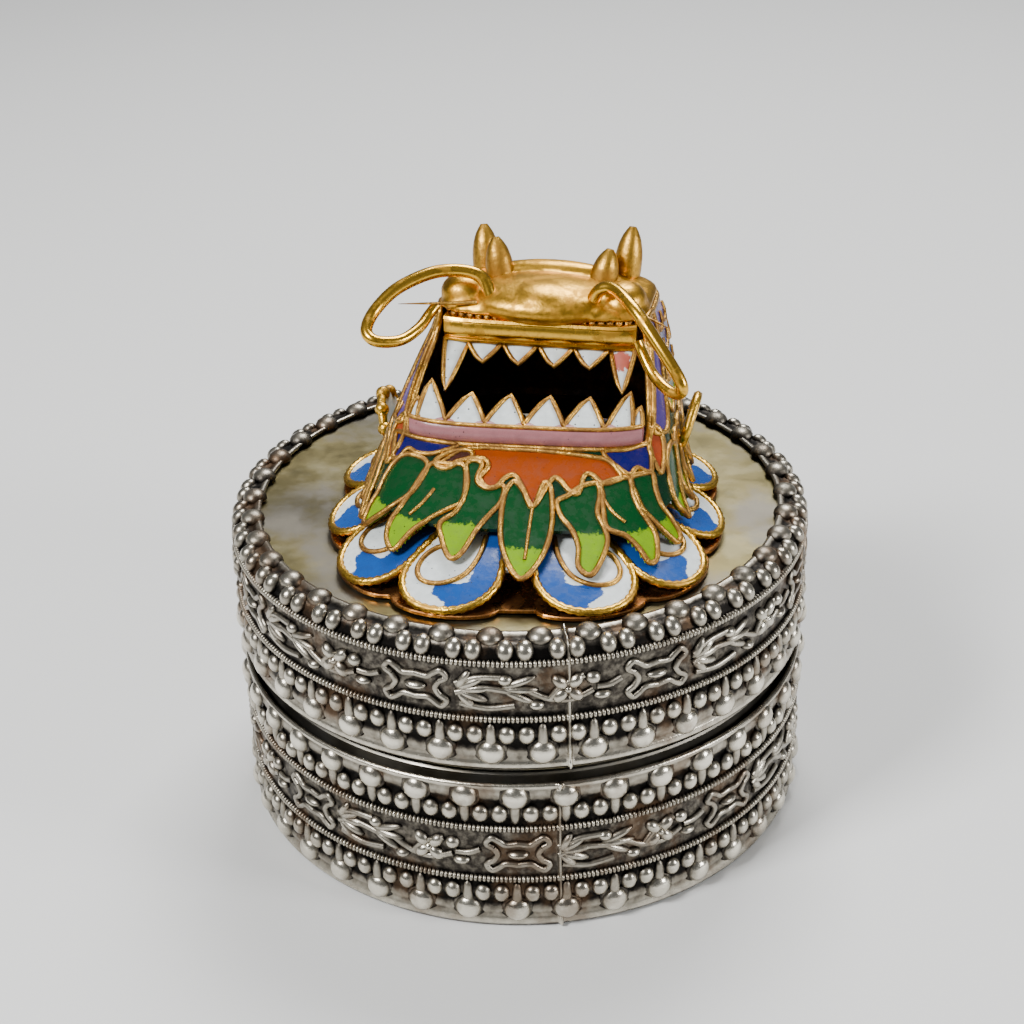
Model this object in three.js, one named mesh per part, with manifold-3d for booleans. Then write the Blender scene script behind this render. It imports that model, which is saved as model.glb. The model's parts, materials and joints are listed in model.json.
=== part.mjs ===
// A round trinket box: a base and a lift-off lid, each wrapped in a stamped silver strip, with a
// gilt and enamelled dragon's head on the lid. Millimetres, +Z up. The origin is the middle of
// the underside, and the dragon looks along -Y.
import * as THREE from 'three';
import { mergeVertices } from 'three/addons/utils/BufferGeometryUtils.js';
import Module from 'manifold-3d';

const wasm = await Module();
wasm.setup();

// Gap left between two pieces that are soldered or rest on each other
const solderGap = 0.3;

// The plain cups
const cupRadius = 33.4;
const cupWall = 0.8;
const floorThickness = 0.8;
const floorRecess = 0.8;
const footWidth = 2;
const lidHeight = 16.5;
const lidTopThickness = 0.8;
const collarHeight = 4;
const collarDepth = 7;
const collarWall = 0.7;
const collarClearance = 0.25;
const cupSegments = 40;

// The stamped strip: its rows are mirrored about its middle line
const stripThickness = 1.1;
const stripRow = { wire: 3.6, leaf: 2.8, small: 5.7, large: 8 };
const stripLipHeight = 9.9;
const stripLipRelief = 0.4;
const bareWallAtSeam = 0.5;
const periods = 40;
const largeBead = { width: 2.6, relief: 1.1 };
const smallBead = { width: 1.9, relief: 0.8, spread: 2.15 };
const wireRelief = 0.55;
const motifs = 8;
const motifRelief = 0.6;
const baseStripTurn = 0.5;
const lidStripTurn = 6;
// On the lid the strip stands above the bare rim, and is folded inwards over the top edge
const lidRimHeight = 1.2;
const lidBevel = 0.7;
const foldRadius = 1.7;
const foldAboveTop = 0.5;
const foldedSmall = 5.1;
const foldedLarge = 7;
const foldedEdge = 7.6;

// The head, measured from its own middle plane and from the top of the lid
const headShift = 2.5;
const sheet = 0.9;
const plateThickness = 0.5;
const plateRim = 0.2;
// Outlines of the head from the ground up: half width, reach to the front, reach to the back, how
// square the outline is, and how far it is turned about the middle of the lip, in degrees. The
// first is the rim of the cloud collar, the rest are the mane's. Collar and mane sit a bit askew.
const rimLine = { height: 0.8, half: 23.1, front: 28.6, back: 20.4, square: 2.65, turn: 8 };
const leafLine = { height: 3.7, half: 19, front: 24.2, back: 19, square: 2.8, turn: 6 };
const lipLine = { height: 11.9, half: 16.4, front: 8.9, back: 17.4, square: 4.2, turn: 3 };
const jawLine = { height: 19.5, half: 13.6, front: -1.2, back: 16.2, square: 6, turn: 0 };
const crownLine = { height: 22.4, half: 12.8, front: -1.6, back: 15.6, square: 5, turn: 0 };

const scrollCount = 12;
const scrollColumns = 6;
const scrollGap = 2;
const scrollStretch = 0.1;
const scrollNotch = 5.4;
const scrollDepth = 11;
const plateNotchShare = 0.35;
const scrollRise = 4;
const scrollBulge = 0.35;

const leafCount = 18;
const leafNotchRise = 1.9;
const leafProud = 0.6;
const lipTall = 2.1;
const lipThick = 1.3;
const lipHalfWidth = 13.4;
const jawTall = 3.1;
const jawThick = 1.6;
const jawHalfWidth = 11;
const lipCornerTurn = 53;
const jawCornerTurn = 69;
const toothCount = 4;
const lowerToothPitch = 4.6;
const upperToothPitch = 4.3;
const toothRoot = 3.7;
const toothThick = 0.8;
const toothSink = 0.4;
const lowerToothTall = 4.3;
const upperToothTall = 3.3;
const fangRoot = 2.8;
const lowerFangTall = 5.2;
const upperFangTall = 6.2;
const fangFromEnd = 1.6;

const snoutTall = 4;
const snoutWall = 0.9;
const eye = { side: 10, front: -6.4, height: 24.2, size: 3, tall: 2.7 };
const hornWidth = 3.1;
const innerHorn = { side: 5.8, front: -9.4, height: 23, tipSide: 7, tipFront: -11.2, tipHeight: 29.1 };
const outerHorn = { side: 8.4, front: -12.8, height: 22.8, tipSide: 9.2, tipFront: -14.8, tipHeight: 30 };
const whiskerWidth = 1.6;
const whiskerSteps = 22;
const whiskerSides = 6;
const bristleWidth = 0.5;

// Places that several pieces share
const stripRadius = cupRadius + stripThickness;
const baseStripMiddle = solderGap + stripLipHeight + stripLipRelief;
const baseHeight = baseStripMiddle + stripLipHeight + bareWallAtSeam;
const seamHeight = baseHeight + solderGap;
const lidTop = seamHeight + lidHeight;
const headFloor = lidTop + solderGap;
const lipTop = lipLine.height + lipTall;
const jawTop = jawLine.height + jawTall;
const snoutUnderside = jawTop + solderGap;
const stripInner = cupRadius + solderGap;
const lidStripMiddle = seamHeight + lidRimHeight + stripLipHeight + stripLipRelief;

const turns = (degrees) => THREE.MathUtils.degToRad(degrees);
const fullTurn = 2 * Math.PI;
const between = (a, b, t) => a + (b - a) * t;

function material(color, roughness, metalness) {
  return new THREE.MeshStandardMaterial({ color, roughness, metalness });
}

const silver = () => material('#8f8b82', 0.38, 0.95);
const lidSilver = () => material('#a8a18c', 0.4, 0.9);
const gilt = () => material('#c9962f', 0.32, 0.95);
const blueEnamel = () => material('#2f62a8', 0.25, 0.1);
const greenEnamel = () => material('#1f7a3a', 0.25, 0.1);
const pinkEnamel = () => material('#c98a95', 0.3, 0.1);
const whiteEnamel = () => material('#e6e6df', 0.3, 0.1);

// Closed bodies in and out of the boolean library
function toManifold(geometry) {
  const bare = geometry.clone();
  bare.deleteAttribute('normal');
  bare.deleteAttribute('uv');
  const merged = mergeVertices(bare, 1e-4);
  const vertProperties = Float32Array.from(merged.attributes.position.array);
  const triVerts = Uint32Array.from(merged.index.array);
  return new wasm.Manifold(new wasm.Mesh({ numProp: 3, vertProperties, triVerts }));
}

function toGeometry(solid) {
  const mesh = solid.getMesh();
  const geometry = new THREE.BufferGeometry();
  geometry.setAttribute('position', new THREE.BufferAttribute(Float32Array.from(mesh.vertProperties), 3));
  geometry.setIndex(Array.from(mesh.triVerts));
  geometry.computeVertexNormals();
  return geometry;
}

function joined(geometries) {
  const solids = geometries.map(toManifold);
  return toGeometry(solids.reduce((all, next) => all.add(next)));
}

// A triangle mesh that stitches rings of points into one closed, ring-shaped body. Each ring is a
// list of points once round, and rings may differ in how many points they have. Of the two ways
// on from a pair of points, the stitch takes the one with the shorter crossing.
function stitchedRings(rings) {
  const positions = rings.flat().flatMap((point) => point.toArray());
  const starts = rings.map((_, k) => rings.slice(0, k).flat().length);
  const indices = [];
  rings.forEach((lower, k) => {
    const above = (k + 1) % rings.length;
    const upper = rings[above];
    let i = 0;
    let j = 0;
    while (i < lower.length || j < upper.length) {
      const here = lower[i % lower.length];
      const there = upper[j % upper.length];
      const along = i < lower.length ? lower[(i + 1) % lower.length].distanceTo(there) : Infinity;
      const across = j < upper.length ? upper[(j + 1) % upper.length].distanceTo(here) : Infinity;
      const a = starts[k] + (i % lower.length);
      const b = starts[above] + (j % upper.length);
      if (along <= across) {
        i += 1;
        indices.push(a, starts[k] + (i % lower.length), b);
      } else {
        j += 1;
        indices.push(a, starts[above] + (j % upper.length), b);
      }
    }
  });
  const geometry = new THREE.BufferGeometry();
  geometry.setAttribute('position', new THREE.Float32BufferAttribute(positions, 3));
  geometry.setIndex(indices);
  geometry.computeVertexNormals();
  return geometry;
}

// The cups

function turnedBody(profile) {
  const points = profile.map(([r, z]) => new THREE.Vector2(r, z));
  const geometry = new THREE.LatheGeometry(points, cupSegments);
  geometry.rotateX(Math.PI / 2);
  return toGeometry(toManifold(geometry));
}

function baseCup() {
  const inside = cupRadius - cupWall;
  const collarOutside = inside - collarClearance;
  const collarInside = collarOutside - collarWall;
  const floorTop = floorRecess + floorThickness;
  return turnedBody([
    [0, floorRecess],
    [cupRadius - footWidth, floorRecess],
    [cupRadius - footWidth, 0],
    [cupRadius, 0],
    [cupRadius, baseHeight],
    [collarOutside, baseHeight],
    [collarOutside, baseHeight + collarHeight],
    [collarInside, baseHeight + collarHeight],
    [collarInside, baseHeight - collarDepth],
    [inside, baseHeight - collarDepth],
    [inside, floorTop],
    [0, floorTop],
  ]);
}

function lidCup() {
  const inside = cupRadius - cupWall;
  const underside = lidTop - lidTopThickness;
  return turnedBody([
    [0, underside],
    [inside, underside],
    [inside, seamHeight],
    [cupRadius, seamHeight],
    [cupRadius, lidTop],
    [0, lidTop],
  ]);
}

// The stamped strip

// A place on the strip's face: its distance above the middle line gives the radius, the height
// and the way that relief stands out
function straightPath(middle) {
  return (along, relief) => ({ r: stripRadius + relief, z: middle + along });
}

function foldedPath(middle) {
  const foldStart = lidTop + foldAboveTop - foldRadius - middle;
  const quarter = foldRadius * Math.PI / 2;
  return (along, relief) => {
    const over = THREE.MathUtils.clamp(along - foldStart, 0, quarter);
    const turn = over / foldRadius;
    const flat = Math.max(0, along - foldStart - quarter);
    const reach = foldRadius + relief;
    return {
      r: stripRadius - foldRadius + reach * Math.cos(turn) - flat,
      z: middle + Math.min(along, foldStart) + reach * Math.sin(turn),
    };
  };
}

function turned(angle, { r, z }) {
  return new THREE.Vector3(r * Math.sin(angle), -r * Math.cos(angle), z);
}

function evenAngles(count, turn) {
  return Array.from({ length: count }, (_, k) => turn + (k * fullTurn) / count);
}

// A row of beads is a zigzag: each crest has a low point on each side, which close neighbours share
function beadRing(path, along, start, bead, offsets) {
  const half = bead.width / 2 / stripRadius;
  const period = fullTurn / periods;
  const crests = Array.from({ length: periods }, (_, k) => (
    offsets.map((offset) => start + k * period + offset / stripRadius))).flat();
  return crests.flatMap((crest, k) => {
    const next = k + 1 < crests.length ? crests[k + 1] : crests[0] + fullTurn;
    const lows = next - crest > 4 * half ? [crest + half, next - half] : [(crest + next) / 2];
    return [turned(crest, path(along, bead.relief)), ...lows.map((low) => turned(low, path(along, 0)))];
  });
}

// One repeat of the leaf band: a cartouche, a fan of leaves, a bud and a four-petalled flower
function motifHeight(angle, turn) {
  const t = ((((angle - turn) / fullTurn) * motifs) % 1 + 1) % 1;
  const cartouche = t < 0.3 ? 1 : 0;
  const leaves = t >= 0.38 && t < 0.62 ? 0.75 : 0;
  const flower = t >= 0.72 && t < 0.9 ? 0.9 : 0;
  return motifRelief * Math.max(cartouche, leaves, flower);
}

function stampedStrip(path, startDegrees, upper, bottomRim) {
  const start = turns(startDegrees);
  const halfPeriod = Math.PI / periods;
  const fine = evenAngles(2 * periods, start);
  const coarse = evenAngles(periods, start + halfPeriod);
  const pair = [-smallBead.spread / 2, smallBead.spread / 2];
  const ring = (along, angles, relief) => angles.map((angle) => turned(angle, path(along, relief)));
  const plainRing = (place) => coarse.map((angle) => turned(angle, place));
  return stitchedRings([
    ...bottomRim.map(plainRing),
    ring(-stripLipHeight, coarse, stripLipRelief),
    ring(-stripRow.large - largeBead.width / 2, coarse, 0),
    beadRing(path, -stripRow.large, start, largeBead, [0]),
    ring(-(stripRow.large + stripRow.small) / 2, coarse, 0),
    beadRing(path, -stripRow.small, start + halfPeriod, smallBead, pair),
    ring(-(stripRow.small + stripRow.wire) / 2, coarse, 0),
    ring(-stripRow.wire, coarse, wireRelief),
    ring(-stripRow.leaf, coarse, 0),
    fine.map((angle) => turned(angle, path(0, motifHeight(angle, start)))),
    ring(stripRow.leaf, coarse, 0),
    ring(stripRow.wire, coarse, wireRelief),
    ring((upper.small + stripRow.wire) / 2, coarse, 0),
    beadRing(path, upper.small, start + halfPeriod, smallBead, pair),
    ring((upper.large + upper.small) / 2, coarse, 0),
    beadRing(path, upper.large, start, largeBead, [0]),
    ring(upper.edge, coarse, 0),
    ...upper.inner.map(plainRing),
  ]);
}

function baseBand() {
  const bottom = baseStripMiddle - stripLipHeight - stripLipRelief;
  const top = baseStripMiddle + stripLipHeight;
  const upper = {
    small: stripRow.small,
    large: stripRow.large,
    edge: stripLipHeight,
    inner: [{ r: stripInner, z: top }],
  };
  const rim = [{ r: stripInner, z: bottom }, { r: stripRadius + stripLipRelief, z: bottom }];
  return stampedStrip(straightPath(baseStripMiddle), baseStripTurn, upper, rim);
}

function lidBand() {
  const path = foldedPath(lidStripMiddle);
  const upper = {
    small: foldedSmall,
    large: foldedLarge,
    edge: foldedEdge,
    inner: [
      { r: path(foldedEdge, 0).r, z: lidTop + solderGap },
      { r: stripInner, z: lidTop + solderGap },
    ],
  };
  const rim = [
    { r: stripInner, z: seamHeight },
    { r: stripRadius - lidBevel, z: seamHeight },
    { r: stripRadius + stripLipRelief, z: seamHeight + lidBevel },
  ];
  return stampedStrip(path, lidStripTurn, upper, rim);
}

// The head's surface

// The outline at a height, worked out between the two named lines on either side of it
function outlineAt(height) {
  const lines = [leafLine, lipLine, jawLine, crownLine];
  const above = Math.max(1, lines.findIndex((line, k) => k === lines.length - 1 || line.height >= height));
  const low = lines[above - 1];
  const high = lines[above];
  const t = (height - low.height) / (high.height - low.height);
  const mix = (key) => between(low[key], high[key], t);
  return {
    half: mix('half'), front: mix('front'), back: mix('back'), square: mix('square'), turn: mix('turn'),
  };
}

// Turns a point about the upright axis through the middle of the lip
function turnedAskew(point, turn) {
  const pivot = new THREE.Vector3(0, -lipLine.front, 0);
  return point.sub(pivot).applyAxisAngle(new THREE.Vector3(0, 0, 1), turns(turn)).add(pivot);
}

// The point of an outline in a direction from its middle, seen from above. Direction 0 is the
// dragon's front. Inset moves the point in, towards the middle.
function outlinePoint({ half, front, back, square, turn }, direction, height, inset = 0) {
  const middle = (front - back) / 2;
  const long = (front + back) / 2 - inset;
  const wide = half - inset;
  const s = Math.sin(direction);
  const c = Math.cos(direction);
  const reach = (Math.abs(s / wide) ** square + Math.abs(c / long) ** square) ** (-1 / square);
  return turnedAskew(new THREE.Vector3(reach * s, -(middle + reach * c), height), turn);
}

// The head's front surface at a distance to one side of the middle plane
function frontPoint(side, height) {
  const { half, front, back, square, turn } = outlineAt(height);
  const share = Math.abs(side) / half;
  const reach = (front - back) / 2 + ((front + back) / 2) * (1 - share ** square) ** (1 / square);
  return turnedAskew(new THREE.Vector3(side, -reach, height), turn);
}

// Directions that divide an outline into steps of equal length, with one at the front. A stretch
// makes the steps in front longer by that share, and those at the back shorter.
function evenDirections(count, line, stretch = 0) {
  const samples = 720;
  const lengths = [0];
  for (let k = 1; k <= samples; k += 1) {
    const before = outlinePoint(line, ((k - 1) / samples) * fullTurn, 0);
    const here = outlinePoint(line, (k / samples) * fullTurn, 0);
    lengths.push(lengths[k - 1] + before.distanceTo(here));
  }
  return Array.from({ length: count }, (_, step) => {
    const share = step / count + (stretch * Math.sin((step / count) * fullTurn)) / fullTurn;
    const wanted = share * lengths[samples];
    const k = Math.max(1, lengths.findIndex((length) => length >= wanted));
    const t = (wanted - lengths[k - 1]) / (lengths[k] - lengths[k - 1]);
    return ((k - 1 + t) / samples) * fullTurn;
  });
}

function ringOf(directions, pointAt) {
  return directions.map((angle, column) => pointAt(angle, column));
}

// A body between two rings with flat ends, or ends that rise to a middle point
function cappedRings(rings, lowMiddle, highMiddle) {
  const count = rings[0].length;
  const positions = rings.flat().flatMap((point) => point.toArray());
  positions.push(...lowMiddle.toArray(), ...highMiddle.toArray());
  const low = rings.length * count;
  const top = low - count;
  const indices = [];
  for (let k = 0; k < count; k += 1) {
    const next = (k + 1) % count;
    for (let row = 0; row < top; row += count) {
      indices.push(row + k, row + next, row + count + next, row + k, row + count + next, row + count + k);
    }
    indices.push(next, k, low, top + k, top + next, low + 1);
  }
  const geometry = new THREE.BufferGeometry();
  geometry.setAttribute('position', new THREE.Float32BufferAttribute(positions, 3));
  geometry.setIndex(indices);
  geometry.computeVertexNormals();
  return geometry;
}

const collarColumns = scrollCount * scrollColumns + 2 * scrollGap;

// How far a column of the collar reaches: 1 at the middle of a scroll, 0 in a notch. The notches
// at the front and the back are wider than the others.
function lobe(column) {
  const fromGap = (column % (collarColumns / 2)) - scrollGap / 2;
  if (fromGap < 0 || fromGap > (scrollCount / 2) * scrollColumns) return 0;
  const across = ((fromGap / scrollColumns) % 1) * 2 - 1;
  return Math.sqrt(Math.max(0, 1 - Math.abs(across) ** 2.4));
}

function headPlate() {
  const directions = evenDirections(collarColumns, rimLine, scrollStretch);
  const ring = (height) => ringOf(directions, (angle, column) => (
    outlinePoint(rimLine, angle, height, plateNotchShare * scrollNotch * (1 - lobe(column)) - plateRim)));
  const middle = (height) => (
    outlinePoint(rimLine, 0, height).lerp(outlinePoint(rimLine, Math.PI, height), 0.5));
  return cappedRings([ring(0), ring(plateThickness)], middle(0), middle(plateThickness));
}

// The scrolls slope from under the mane down to the plate, and bulge a little on the way
function cloudCollar() {
  const directions = evenDirections(collarColumns, rimLine, scrollStretch);
  const ring = (share, up) => ringOf(directions, (angle, column) => {
    const notch = scrollNotch * (1 - lobe(column));
    const inset = between(notch, scrollDepth, share);
    const height = rimLine.height + scrollRise * (inset / scrollDepth);
    const bulge = scrollBulge * Math.sin(Math.PI * share);
    return outlinePoint(rimLine, angle, height + bulge + up, inset);
  });
  const half = sheet / 2;
  return stitchedRings([
    ring(0, 0), ring(0, half), ring(0.5, half), ring(1, half), ring(1, -half), ring(0.5, -half),
  ]);
}

// The mane is open in front, where the mouth is. Its upper edge climbs from the lip to the crown.
function maneTop(direction) {
  const turn = Math.abs(Math.atan2(Math.sin(direction), Math.cos(direction)));
  const climb = (turn - turns(lipCornerTurn)) / turns(jawCornerTurn - lipCornerTurn);
  return between(lipLine.height - solderGap, jawTop, THREE.MathUtils.clamp(climb, 0, 1));
}

function mane() {
  const columnsPerLeaf = 4;
  const directions = evenDirections(leafCount * columnsPerLeaf, leafLine);
  const ring = (share, inset) => ringOf(directions, (angle, column) => {
    const fromTip = Math.abs((((column / columnsPerLeaf) + 0.5) % 1) - 0.5) * 2;
    const foot = leafLine.height + leafNotchRise * fromTip;
    const height = between(foot, maneTop(angle), share);
    const proud = leafProud * (1 - share) * (1 - fromTip);
    return outlinePoint(outlineAt(height), angle, height, inset - proud);
  });
  return stitchedRings([
    ring(0, sheet), ring(0, 0), ring(0.4, 0), ring(1, 0), ring(1, sheet), ring(0.4, sheet),
  ]);
}

// A strip across the head's front, from corner to corner at one height
function frontStrip(height, tall, thick, halfWidth) {
  const section = new THREE.Shape([
    new THREE.Vector2(0, 0), new THREE.Vector2(thick, 0),
    new THREE.Vector2(thick, tall), new THREE.Vector2(0, tall),
  ]);
  const steps = 8;
  const geometry = new THREE.ExtrudeGeometry(section, { depth: 2 * halfWidth, steps, bevelEnabled: false });
  const position = geometry.attributes.position;
  for (let k = 0; k < position.count; k += 1) {
    const side = position.getZ(k) - halfWidth;
    const front = frontPoint(side, height);
    position.setXYZ(k, side, front.y + position.getX(k), height + position.getY(k));
  }
  return geometry;
}

// The way from the lower lip to the upper, in the middle plane: all teeth lie along it
function mouthSlope() {
  return frontPoint(0, jawLine.height).sub(frontPoint(0, lipTop)).normalize();
}

// A tooth is a three-sided blade that stands on its root, with its point along the slope
function tooth(root, rootWidth, tall, slope) {
  const outline = new THREE.Shape([
    new THREE.Vector2(-rootWidth / 2, 0), new THREE.Vector2(rootWidth / 2, 0), new THREE.Vector2(0, tall),
  ]);
  const geometry = new THREE.ExtrudeGeometry(outline, { depth: toothThick, bevelEnabled: false });
  geometry.translate(0, -toothSink, -toothThick / 2);
  const across = new THREE.Vector3(1, 0, 0);
  const frame = new THREE.Matrix4().makeBasis(across, slope, across.clone().cross(slope));
  geometry.applyMatrix4(frame);
  geometry.translate(root.x, root.y, root.z);
  return geometry;
}

function toothSides(pitch) {
  return Array.from({ length: toothCount }, (_, k) => (k - (toothCount - 1) / 2) * pitch);
}

function lowerJaw() {
  const lip = frontStrip(lipLine.height, lipTall, lipThick, lipHalfWidth);
  const slope = mouthSlope();
  const rootAt = (side) => {
    const root = frontPoint(side, lipLine.height);
    return root.add(new THREE.Vector3(0, lipThick / 2, lipTall));
  };
  const teeth = toothSides(lowerToothPitch).map((side) => (
    tooth(rootAt(side), toothRoot, lowerToothTall, slope)));
  const fangs = [-1, 1].map((way) => (
    tooth(rootAt(way * (lipHalfWidth - fangFromEnd)), fangRoot, lowerFangTall, slope)));
  return joined([lip, ...teeth, ...fangs]);
}

function upperJaw() {
  const band = frontStrip(jawLine.height, jawTall, jawThick, jawHalfWidth);
  const slope = mouthSlope().negate();
  const rootAt = (side) => frontPoint(side, jawLine.height).add(new THREE.Vector3(0, jawThick / 2, 0));
  const teeth = toothSides(upperToothPitch).map((side) => (
    tooth(rootAt(side), toothRoot, upperToothTall, slope)));
  const fangs = [-1, 1].map((way) => (
    tooth(rootAt(way * (jawHalfWidth - fangFromEnd)), fangRoot, upperFangTall, slope)));
  return joined([band, ...teeth, ...fangs]);
}

// The snout is a low dome on the crown line, hollow underneath, with a bulge over each eye
function dome(inset, underside, tall) {
  const directions = evenDirections(24, crownLine);
  const middle = new THREE.Vector3(0, (crownLine.back - crownLine.front) / 2, underside);
  const rings = [0, 0.5, 0.8, 0.96].map((rise) => ringOf(directions, (angle) => {
    const rim = outlinePoint(crownLine, angle, underside, inset);
    const point = middle.clone().lerp(rim, Math.sqrt(1 - rise * rise));
    return point.setZ(underside + tall * rise);
  }));
  return cappedRings(rings, middle, middle.clone().setZ(underside + tall));
}

function eyeBulge(way) {
  const geometry = new THREE.SphereGeometry(eye.size, 10, 6);
  geometry.rotateX(Math.PI / 2);
  geometry.scale(1, 1, eye.tall / eye.size);
  geometry.translate(way * eye.side, -eye.front, eye.height);
  return toManifold(geometry).trimByPlane([0, 0, 1], snoutUnderside);
}

function snoutSolid(grow = 0) {
  const body = toManifold(dome(-grow, snoutUnderside - grow, snoutTall + 2 * grow));
  return [-1, 1].map(eyeBulge).reduce((all, bulge) => all.add(bulge), body);
}

function snout() {
  const hollow = toManifold(dome(2 * snoutWall, snoutUnderside - snoutWall, snoutTall));
  return toGeometry(snoutSolid().subtract(hollow));
}

// What is soldered onto the snout is cut clear of it, and only the part that stands out is kept
function clearOfSnout(geometry) {
  const left = toManifold(geometry).subtract(snoutSolid(solderGap)).decompose();
  return toGeometry(left.sort((a, b) => b.volume() - a.volume())[0]);
}

// A horn is a pointed bud, widest a third of the way up
function horn(way, { side, front, height, tipSide, tipFront, tipHeight }) {
  const foot = new THREE.Vector3(way * side, -front, height);
  const tip = new THREE.Vector3(way * tipSide, -tipFront, tipHeight);
  const long = foot.distanceTo(tip);
  const profile = [[0, 0], [0.36, 0], [0.5, 0.32], [0.42, 0.66], [0.2, 0.9], [0, 1]];
  const points = profile.map(([r, z]) => new THREE.Vector2(r * hornWidth, z * long));
  const geometry = new THREE.LatheGeometry(points, 7);
  const up = new THREE.Vector3(0, 1, 0);
  const turn = new THREE.Quaternion().setFromUnitVectors(up, tip.clone().sub(foot).normalize());
  geometry.applyQuaternion(turn);
  geometry.translate(foot.x, foot.y, foot.z);
  return clearOfSnout(geometry);
}

// A round wire along a smooth route. Each point of a route is how far it is to the side, to the
// front and above the lid.
function wire(route, width, steps, sides) {
  const points = route.map(([side, front, height]) => new THREE.Vector3(side, -front, height));
  const section = new THREE.Shape(Array.from({ length: sides }, (_, k) => {
    const angle = (k / sides) * fullTurn;
    return new THREE.Vector2(Math.cos(angle), Math.sin(angle)).multiplyScalar(width / 2);
  }));
  const extrudePath = new THREE.CatmullRomCurve3(points);
  const geometry = new THREE.ExtrudeGeometry(section, { steps, bevelEnabled: false, extrudePath });
  return clearOfSnout(geometry);
}

// The left whisker is a flat loop that comes back to the eye
const leftWhiskerRoute = [
  [-5.8, -3.2, 24], [-7.6, -4.4, 26.9], [-12.2, -3.6, 27.5], [-16.4, -0.8, 26.4], [-18.8, 1.8, 24.4],
  [-19.3, 4.3, 22.9], [-18, 5.2, 22], [-15.5, 3.8, 21.6], [-13.8, 1.4, 22.2], [-13.2, -0.9, 22.9],
];

// The right whisker hangs lower, in front of the cheek, and ends beside the upper lip
const rightWhiskerRoute = [
  [5.7, -3.6, 24], [7, -3.2, 26.4], [8.9, -2.3, 26.9], [11.9, 1.4, 25.9], [15.1, 4.2, 22.9],
  [17.6, 6, 19.9], [17.8, 6, 18.3], [16.4, 5.2, 18], [14.2, 3, 18.9], [12.6, 1.2, 20.9], [12, 0.8, 22],
];

const leftBristleRoute = [[-7.6, -2.6, 24.2], [-12, -1.5, 24.3], [-16.6, -0.4, 24.4]];
const rightBristleRoute = [[11.4, -3.4, 23.6], [13.4, -2.4, 23.3], [15.2, -1.6, 22.9]];

// The object

function piece(name, geometry, look) {
  const mesh = new THREE.Mesh(geometry, look);
  mesh.name = name;
  return mesh;
}

const box = new THREE.Group();
box.add(piece('base_cup', baseCup(), silver()));
box.add(piece('base_band', baseBand(), silver()));
box.add(piece('lid_cup', lidCup(), lidSilver()));
box.add(piece('lid_band', lidBand(), silver()));

const head = new THREE.Group();
head.position.set(headShift, 0, headFloor);
head.add(piece('head_plate', headPlate(), gilt()));
head.add(piece('cloud_collar', cloudCollar(), blueEnamel()));
head.add(piece('mane', mane(), greenEnamel()));
head.add(piece('lower_jaw', lowerJaw(), pinkEnamel()));
head.add(piece('upper_jaw', upperJaw(), whiteEnamel()));
head.add(piece('snout', snout(), gilt()));
head.add(piece('horn_inner_left', horn(-1, innerHorn), gilt()));
head.add(piece('horn_inner_right', horn(1, innerHorn), gilt()));
head.add(piece('horn_outer_left', horn(-1, outerHorn), gilt()));
head.add(piece('horn_outer_right', horn(1, outerHorn), gilt()));
head.add(piece('whisker_left', wire(leftWhiskerRoute, whiskerWidth, whiskerSteps, whiskerSides), gilt()));
head.add(piece('whisker_right', wire(rightWhiskerRoute, whiskerWidth, whiskerSteps, whiskerSides), gilt()));
head.add(piece('bristle_left', wire(leftBristleRoute, bristleWidth, 3, 5), gilt()));
head.add(piece('bristle_right', wire(rightBristleRoute, bristleWidth, 2, 5), gilt()));
box.add(head);

export default box;
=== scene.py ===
# %% [markdown]
# A silver trinket box with a gilt and enamelled dragon's head
#
# The box is two plain silver cups, each wrapped in stamped strip. The head on its lid is sheet
# copper with enamel melted between gilt wires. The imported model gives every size, so each piece
# made here goes where its node is, and only its detail and its finish are new.

import json
import math
from collections import namedtuple

import bpy
import numpy as np
from mathutils import Matrix, Vector

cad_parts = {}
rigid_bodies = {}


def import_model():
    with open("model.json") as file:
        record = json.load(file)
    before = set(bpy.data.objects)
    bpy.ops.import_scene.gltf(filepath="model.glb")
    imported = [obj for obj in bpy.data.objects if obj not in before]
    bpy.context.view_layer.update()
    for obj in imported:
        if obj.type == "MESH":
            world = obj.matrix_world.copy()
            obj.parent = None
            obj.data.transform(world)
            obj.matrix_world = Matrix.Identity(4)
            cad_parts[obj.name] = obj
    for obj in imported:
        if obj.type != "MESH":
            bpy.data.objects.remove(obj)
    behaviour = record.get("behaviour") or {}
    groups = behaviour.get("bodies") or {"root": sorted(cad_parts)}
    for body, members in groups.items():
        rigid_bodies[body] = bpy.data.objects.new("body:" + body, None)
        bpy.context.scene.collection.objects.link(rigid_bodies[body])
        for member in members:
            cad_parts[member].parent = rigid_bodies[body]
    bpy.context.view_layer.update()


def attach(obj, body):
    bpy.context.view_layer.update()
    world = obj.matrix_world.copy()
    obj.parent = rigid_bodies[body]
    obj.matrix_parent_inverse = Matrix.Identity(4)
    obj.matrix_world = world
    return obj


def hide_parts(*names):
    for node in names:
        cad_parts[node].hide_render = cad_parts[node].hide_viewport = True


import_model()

# %% [markdown]
# The camera looks at the dragon's face from its left and a little above, with a long lens, so
# that the box looks nearly as it would without perspective. It is rolled by a degree or so, as a
# camera in the hand is.

# %% Camera
MM = 0.001
TURN = 2 * math.pi

view_turn = math.radians(12.0)
view_rise = math.radians(28.93)
view_roll = math.radians(1.42)
view_distance = 240 * MM
sideways = -0.91 * MM
aim_height = 35.94 * MM

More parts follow.
